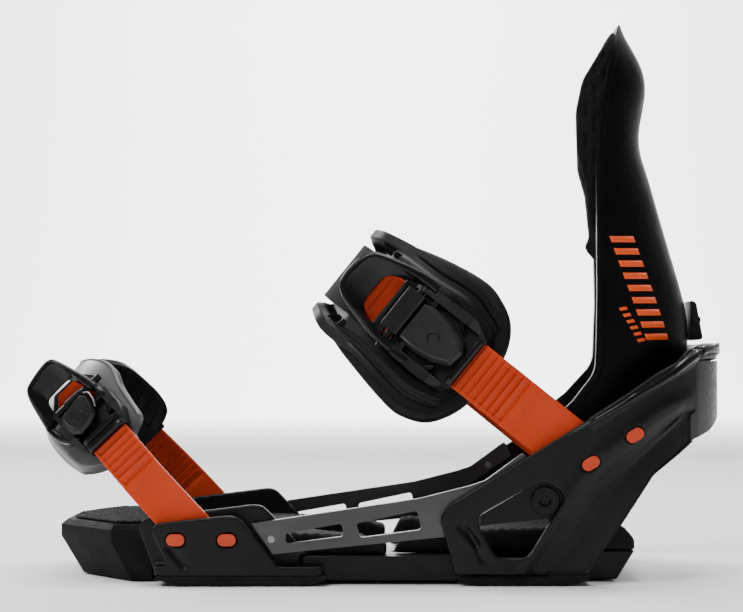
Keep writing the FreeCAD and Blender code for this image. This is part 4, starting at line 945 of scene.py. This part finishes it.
def highback_graphic():
    """Printed mark on the shell's outer face: a row of slanted bars and a shorter row beside it."""
    tree = surface("highback_shell")
    points, faces = [], []
    for start, end, count, half, wide, slant in BAR_ROWS:
        along = (end - start).normalized()
        across = Vector((along.y, -along.x))
        for number in range(count):
            middle = start.lerp(end, number / (count - 1))
            steps = 6
            rows = []
            for i in range(steps + 1):
                share = -1 + 2 * i / steps
                for edge in (-wide, wide):
                    flat = middle - across * (half * share) + along * (slant * share + edge)
                    rows.append(on_side(tree, flat.x, flat.y) - Vector((0, 0.14, 0)))
            base, low = len(points), len(rows)
            points += rows
            points += [p + Vector((0, 0.22, 0)) for p in rows]
            for i in range(steps):
                a = base + 2 * i
                faces += [(a, a + 1, a + 3, a + 2), (a + low, a + low + 2, a + low + 3, a + low + 1),
                          (a, a + 2, a + 2 + low, a + low), (a + 1, a + 1 + low, a + 3 + low, a + 3)]
            for a in (base, base + 2 * steps):
                faces.append((a, a + low, a + 1 + low, a + 1))
    return new_piece("highback_graphic", points, faces, "orange_print", "highback")


LIP_PATHS = (
    (-1, [(88.5, 80.6), (92.6, 84.6), (97.0, 90.2), (100.4, 96.4), (101.9, 104), (102.3, 116), (102.4, 130),
          (102.6, 160), (102.8, 190), (103.6, 206), (105.2, 222), (109.4, 241), (114.0, 254)]),
    (1, [(97.0, 83.4), (103.0, 88.2), (109.6, 95.4), (112.8, 104), (113.6, 116), (113.8, 130), (113.2, 160),
         (112.0, 190), (111.2, 206), (110.6, 222), (112.2, 241)]))
LIP_SECTION = ((0.5, -0.6), (0.5, 0.25), (0.9, 0.6), (2.0, 0.8), (3.1, 0.65), (3.7, 0.3), (3.9, -0.6))


def highback_lip():
    """Raised border along the shell's front edge on both sides."""
    tree = surface("highback_shell")
    points, faces = [], []
    for sign, path in LIP_PATHS:
        def hit(flat):
            return tree.ray_cast(Vector((flat.x / 1000, sign * 0.2, flat.y / 1000)), Vector((0, -sign, 0)))[0]

        line = spline(path, 10)
        rings = []
        for i, p in enumerate(line):
            ahead = line[min(i + 1, len(line) - 1)] - line[max(i - 1, 0)]
            inward = Vector((ahead.y, -ahead.x)).normalized()
            fade = min(1.0, i / 8, (len(line) - 1 - i) / 8)
            ring = []
            for by, lift in LIP_SECTION:
                spot = hit(p + inward * by) or hit(p + inward * (by + 1.0)) or hit(p + inward * (by + 2.5))
                if spot is None:
                    break
                up = lift * fade if lift > 0 else lift
                ring.append(Vector((p.x + inward.x * by, spot.y * 1000 + sign * up, p.y + inward.y * by)))
            if len(ring) == len(LIP_SECTION):
                rings.append(ring)
        p, f = swept(rings)
        faces += [tuple(i + len(points) for i in face) for face in f]
        points += p
    return new_piece("highback_lip", points, faces, "shell", "highback")


# ------------------------------------------------------------------ build
# outlines of the levers: the outer edge and the eye, from one leg round the tip to the other
ANKLE_LOOP = [(29.6, 18.0), (36, 17.9), (43, 17.0), (50, 15.2), (57, 13.4), (62, 11.6), (66, 8.8),
              (67.9, 5.4), (68.5, 1.4), (68.1, -4.0), (67.2, -8.6), (65.0, -12.6), (61, -15.0),
              (53.5, -17.4), (46, -19.4), (38, -20.8), (29.6, -21.0)]
ANKLE_EYE = [(29.6, 13.6), (36, 13.4), (42, 12.6), (46.5, 11.4), (50, 10.0), (52.3, 8.6), (53.4, 7.0),
             (54.0, 4.4), (54.1, 0.0), (54.0, -4.0), (53.6, -7.4), (52.4, -9.4), (50, -11.0), (45.5, -13.0),
             (41, -14.6), (36, -16.0), (29.6, -16.4)]
TOE_LOOP = [(20, 19.0), (23, 18.6), (27, 17.8), (32, 16.7), (36.4, 15.4), (39.2, 13.9), (40.9, 11.8),
            (42.1, 8.0), (43.2, 3.4), (43.8, -0.6), (43.6, -3.0), (42.2, -5.2), (38.4, -7.1), (33, -9.0),
            (28, -10.7), (24, -11.8), (20, -12.6)]
TOE_EYE = [(20, 13.2), (21.5, 12.4), (22.8, 11.7), (24.5, 11.2), (27, 10.8), (29.2, 10.3), (30.6, 9.2),
           (31.2, 7.2), (31.5, 3.4), (31.6, 0.0), (31.7, -2.4), (31.1, -3.9), (29.4, -5.1), (27, -6.2),
           (24.6, -7.3), (22.4, -8.0), (20, -8.4)]

ankle_shell()
ankle_pad()
toe_cap()
ladder("ankle_strap_outer_ladder", ANKLE, ANKLE_BEND, 12.5, 12.5, 136,
       (3.7, 43, 130), 1, "ankle_strap", depth=1.6)
ladder("ankle_strap_inner_ladder", ANKLE, ANKLE_BEND, 12.5, 12.5, 100,
       (3.7, 43, 92), -1, "ankle_strap", boot_teeth=0.6)
ladder("toe_strap_outer_ladder", TOE, TOE_BEND, 9.75, 9.75, 98.5, (3.6, 42, 93), 1, "toe_strap", depth=2.2)
ladder("toe_strap_inner_ladder", TOE, TOE_BEND, 9.75, 9.75, 76,
       (3.6, 24, 70), -1, "toe_strap", boot_teeth=0.8)
lever("ankle_buckle_lever", ANKLE_SEAT, ANKLE_LOOP, ANKLE_EYE, 4.2, "gloss", "ankle_lever", ("ankle_lever",))
lever("toe_buckle_lever", TOE_SEAT, TOE_LOOP, TOE_EYE, 4.0, "gloss", "toe_lever", ("toe_lever",))
cheeks("ankle_buckle_cheeks", ANKLE_SEAT, [(9, 12.6), (12, 15.4), (17, 17.3), (23, 18.0), (29.4, 18.0)],
       [(9, 12.8), (12, 15.6), (16, 18.6), (21, 20.5), (29.4, 21.0)], 3.6, "gloss", "ankle_strap")
cheeks("toe_buckle_cheeks", TOE_SEAT, [(6, 12.4), (8, 15.2), (12, 18.0), (18.4, 19.2)],
       [(6, 11.0), (8, 12.2), (12, 13.4), (18.4, 13.2)], 3.4, "gloss", "toe_strap")
deck("ankle_buckle_deck", ANKLE_SEAT, -1.0, 34.6, 13.4, "ankle_strap")
deck("toe_buckle_deck", TOE_SEAT, -1.0, 17.6, 10.4, "toe_strap")
pawl("ankle_buckle_pawl", ANKLE_SEAT, [(31.9, -6.4), (31.9, -7.9), (32.6, -8.5), (40.4, -9.3), (41.2, -8.7),
     (41.2, -5.4), (38.6, -3.6), (35.0, -2.5), (33.8, -2.9), (35.4, -5.4)], -12.0, 9.8, "ankle_strap",
     ("ankle_drive_pawl",))
# black strip past the ankle pawl, painted shadow: it stands for the shadow that the pawl casts on the ladder
deck("ankle_pawl_shadow_deck", ANKLE_SEAT, 39.8, 46.0, 13.4, "ankle_strap")
pawl("toe_buckle_pawl", TOE_SEAT, [(23.0, -7.0), (24.6, -6.8), (25.2, -5.4), (24.4, -4.0), (20.4, -3.1),
     (18.4, -2.9), (17.2, -3.2), (19.0, -3.8), (22.3, -4.3)], -4.6, 5.4, "toe_strap", ("toe_drive_pawl",))
bent_wire("toe_release_spring", TOE_SEAT, [(20.7, -5.2), (19.9, -6.6), (18.2, -7.2), (14.6, -6.8),
          (11.4, -5.6)], -8.2, 0.5, "steel", "toe_release")
thumb_pad("ankle_thumb_pad", ANKLE_SEAT, [(31.5, 9.8), (31.5, -10.4), (26.0, -11.2), (15, -10.8),
          (4.6, -6.8), (1.6, -2.4), (2.6, 5.4), (10, 9.2), (19.5, 10.8), (25.6, 10.6)], -4.9, -8.6, 26.0,
          0.34, "ankle_release", ("ankle_release_lever",))
thumb_pad("toe_thumb_pad", TOE_SEAT, [(21.6, -3.0), (19.4, -6.0), (14.0, -5.4), (9.0, -3.4), (6.8, 2.0),
          (6.2, 7.4), (8.8, 10.6), (13.0, 11.8), (16.8, 12.0), (19.4, 11.2)], -6.8, -9.0, 30.0, 0.0,
          "toe_release", ("toe_release_lever",))
mouth("ankle_buckle_mouth", ANKLE_SEAT, [(-2.5, -2.0), (-2.5, -4.6), (-1.6, -5.6), (0.2, -5.9), (1.0, -5.2),
      (1.0, -2.0)], -12.9, 12.9, "ankle_strap")
mouth("toe_buckle_mouth", TOE_SEAT, [(-2.6, -2.0), (-2.6, -4.8), (-1.8, -5.8), (-0.4, -5.8), (0.0, -4.8),
      (0.8, -4.8), (1.4, -6.6), (3.2, -7.0), (4.0, -6.2), (4.0, -2.0)], -10.6, 10.2, "toe_strap")
moulded("footbed_toe_cushion", "footbed_toe_pad", "rubber", "base", 1.3, studs)
moulded("footbed_heel_cushion", "footbed_heel_pad", "rubber", "base", 1.3, studs)
moulded("toe_ramp_grip", "toe_ramp_pad", "rubber", "toe_ramp", 0.8, ribs, smooth=1)
moulded("front_base_foam", "front_base_pad", "eva", "base", 1.4, rough)
moulded("rear_base_foam", "rear_base_pad", "eva", "base", 1.4, rough)
moulded("highback_lining", "highback_pad", "eva", "highback", 1.0, calf_pad)
remoulded("heelcup_moulding", "heelcup", cup_relief)
remoulded("toe_frame_moulding", "toe_frame", toe_relief)
cup_rim()
highback_graphic()
highback_lip()


# ------------------------------------------------------------------ stage
FLOOR_SIDE, FLOOR_FRONT, FLOOR_BACK = 9, -4, 3
BACKDROP_BEND, BACKDROP_TOP = 1.5, 8
# name, place, what it points at, size and power of each soft light
LIGHTS = (("backdrop_wash", (0, 2.5, 1.9), (0, 4.4, 0.5), 1.6, 260.0),
          ("key", (-0.75, -0.9, 1.5), (0, 0, 0.1), 0.7, 19.0),
          ("rim_right", (0.9, 0.7, 1.1), (0.1, 0, 0.1), 0.3, 8.0),
          ("rim_left", (-1.1, 0.75, 0.95), (-0.05, 0, 0.08), 0.6, 20.0),
          ("top", (0.1, 0.15, 1.4), (0, 0, 0), 0.7, 16.0))


def floor():
    """Pale floor that bends up into a backdrop."""
    steps = 24
    edge = [(FLOOR_FRONT, 0)]
    for i in range(steps + 1):
        turn = math.radians(90 * i / steps)
        rise = BACKDROP_BEND - BACKDROP_BEND * math.cos(turn)
        edge.append((FLOOR_BACK + BACKDROP_BEND * math.sin(turn), rise))
    edge.append((FLOOR_BACK + BACKDROP_BEND, BACKDROP_TOP))
    points = [(x, y, z) for y, z in edge for x in (-FLOOR_SIDE, FLOOR_SIDE)]
    faces = [(2 * i, 2 * i + 1, 2 * i + 3, 2 * i + 2) for i in range(len(edge) - 1)]
    mesh = bpy.data.meshes.new("floor")
    mesh.from_pydata(points, [], faces)
    for face in mesh.polygons:
        face.use_smooth = True
    made = bpy.data.objects.new("floor", mesh)
    made.location.z = -0.0004
    bpy.context.scene.collection.objects.link(made)
    mesh.materials.append(shader("floor_pale", (0.9, 0.9, 0.9), 0.8, specular=0.1)[0])


def studio():
    """Weak white surroundings and soft lights."""
    world = bpy.data.worlds.new("studio")
    world.use_nodes = True
    background = world.node_tree.nodes["Background"]
    background.inputs["Color"].default_value = (1, 1, 1, 1)
    background.inputs["Strength"].default_value = 0.22
    bpy.context.scene.world = world
    for name, place, aim, size, power in LIGHTS:
        data = bpy.data.lights.new(name, "AREA")
        data.size = size
        data.energy = power
        light = bpy.data.objects.new(name, data)
        light.location = place
        light.rotation_euler = (Vector(aim) - Vector(place)).to_track_quat("-Z", "Y").to_euler()
        bpy.context.scene.collection.objects.link(light)


CAMERA_PLACE = (0.0, -0.885, 0.099)
FOCAL_MM, SENSOR_MM, SHIFT_UP = 88.6, 36.0, 0.0794


def camera():
    """Level view of the buckle side."""
    data = bpy.data.cameras.new("camera")
    data.lens = FOCAL_MM
    data.sensor_width = SENSOR_MM
    data.shift_y = SHIFT_UP
    data.clip_start, data.clip_end = 0.05, 30.0
    view = bpy.data.objects.new("camera", data)
    view.location = CAMERA_PLACE
    view.rotation_euler = (math.radians(90), 0, 0)
    bpy.context.scene.collection.objects.link(view)
    bpy.context.scene.camera = view


floor()
studio()
camera()
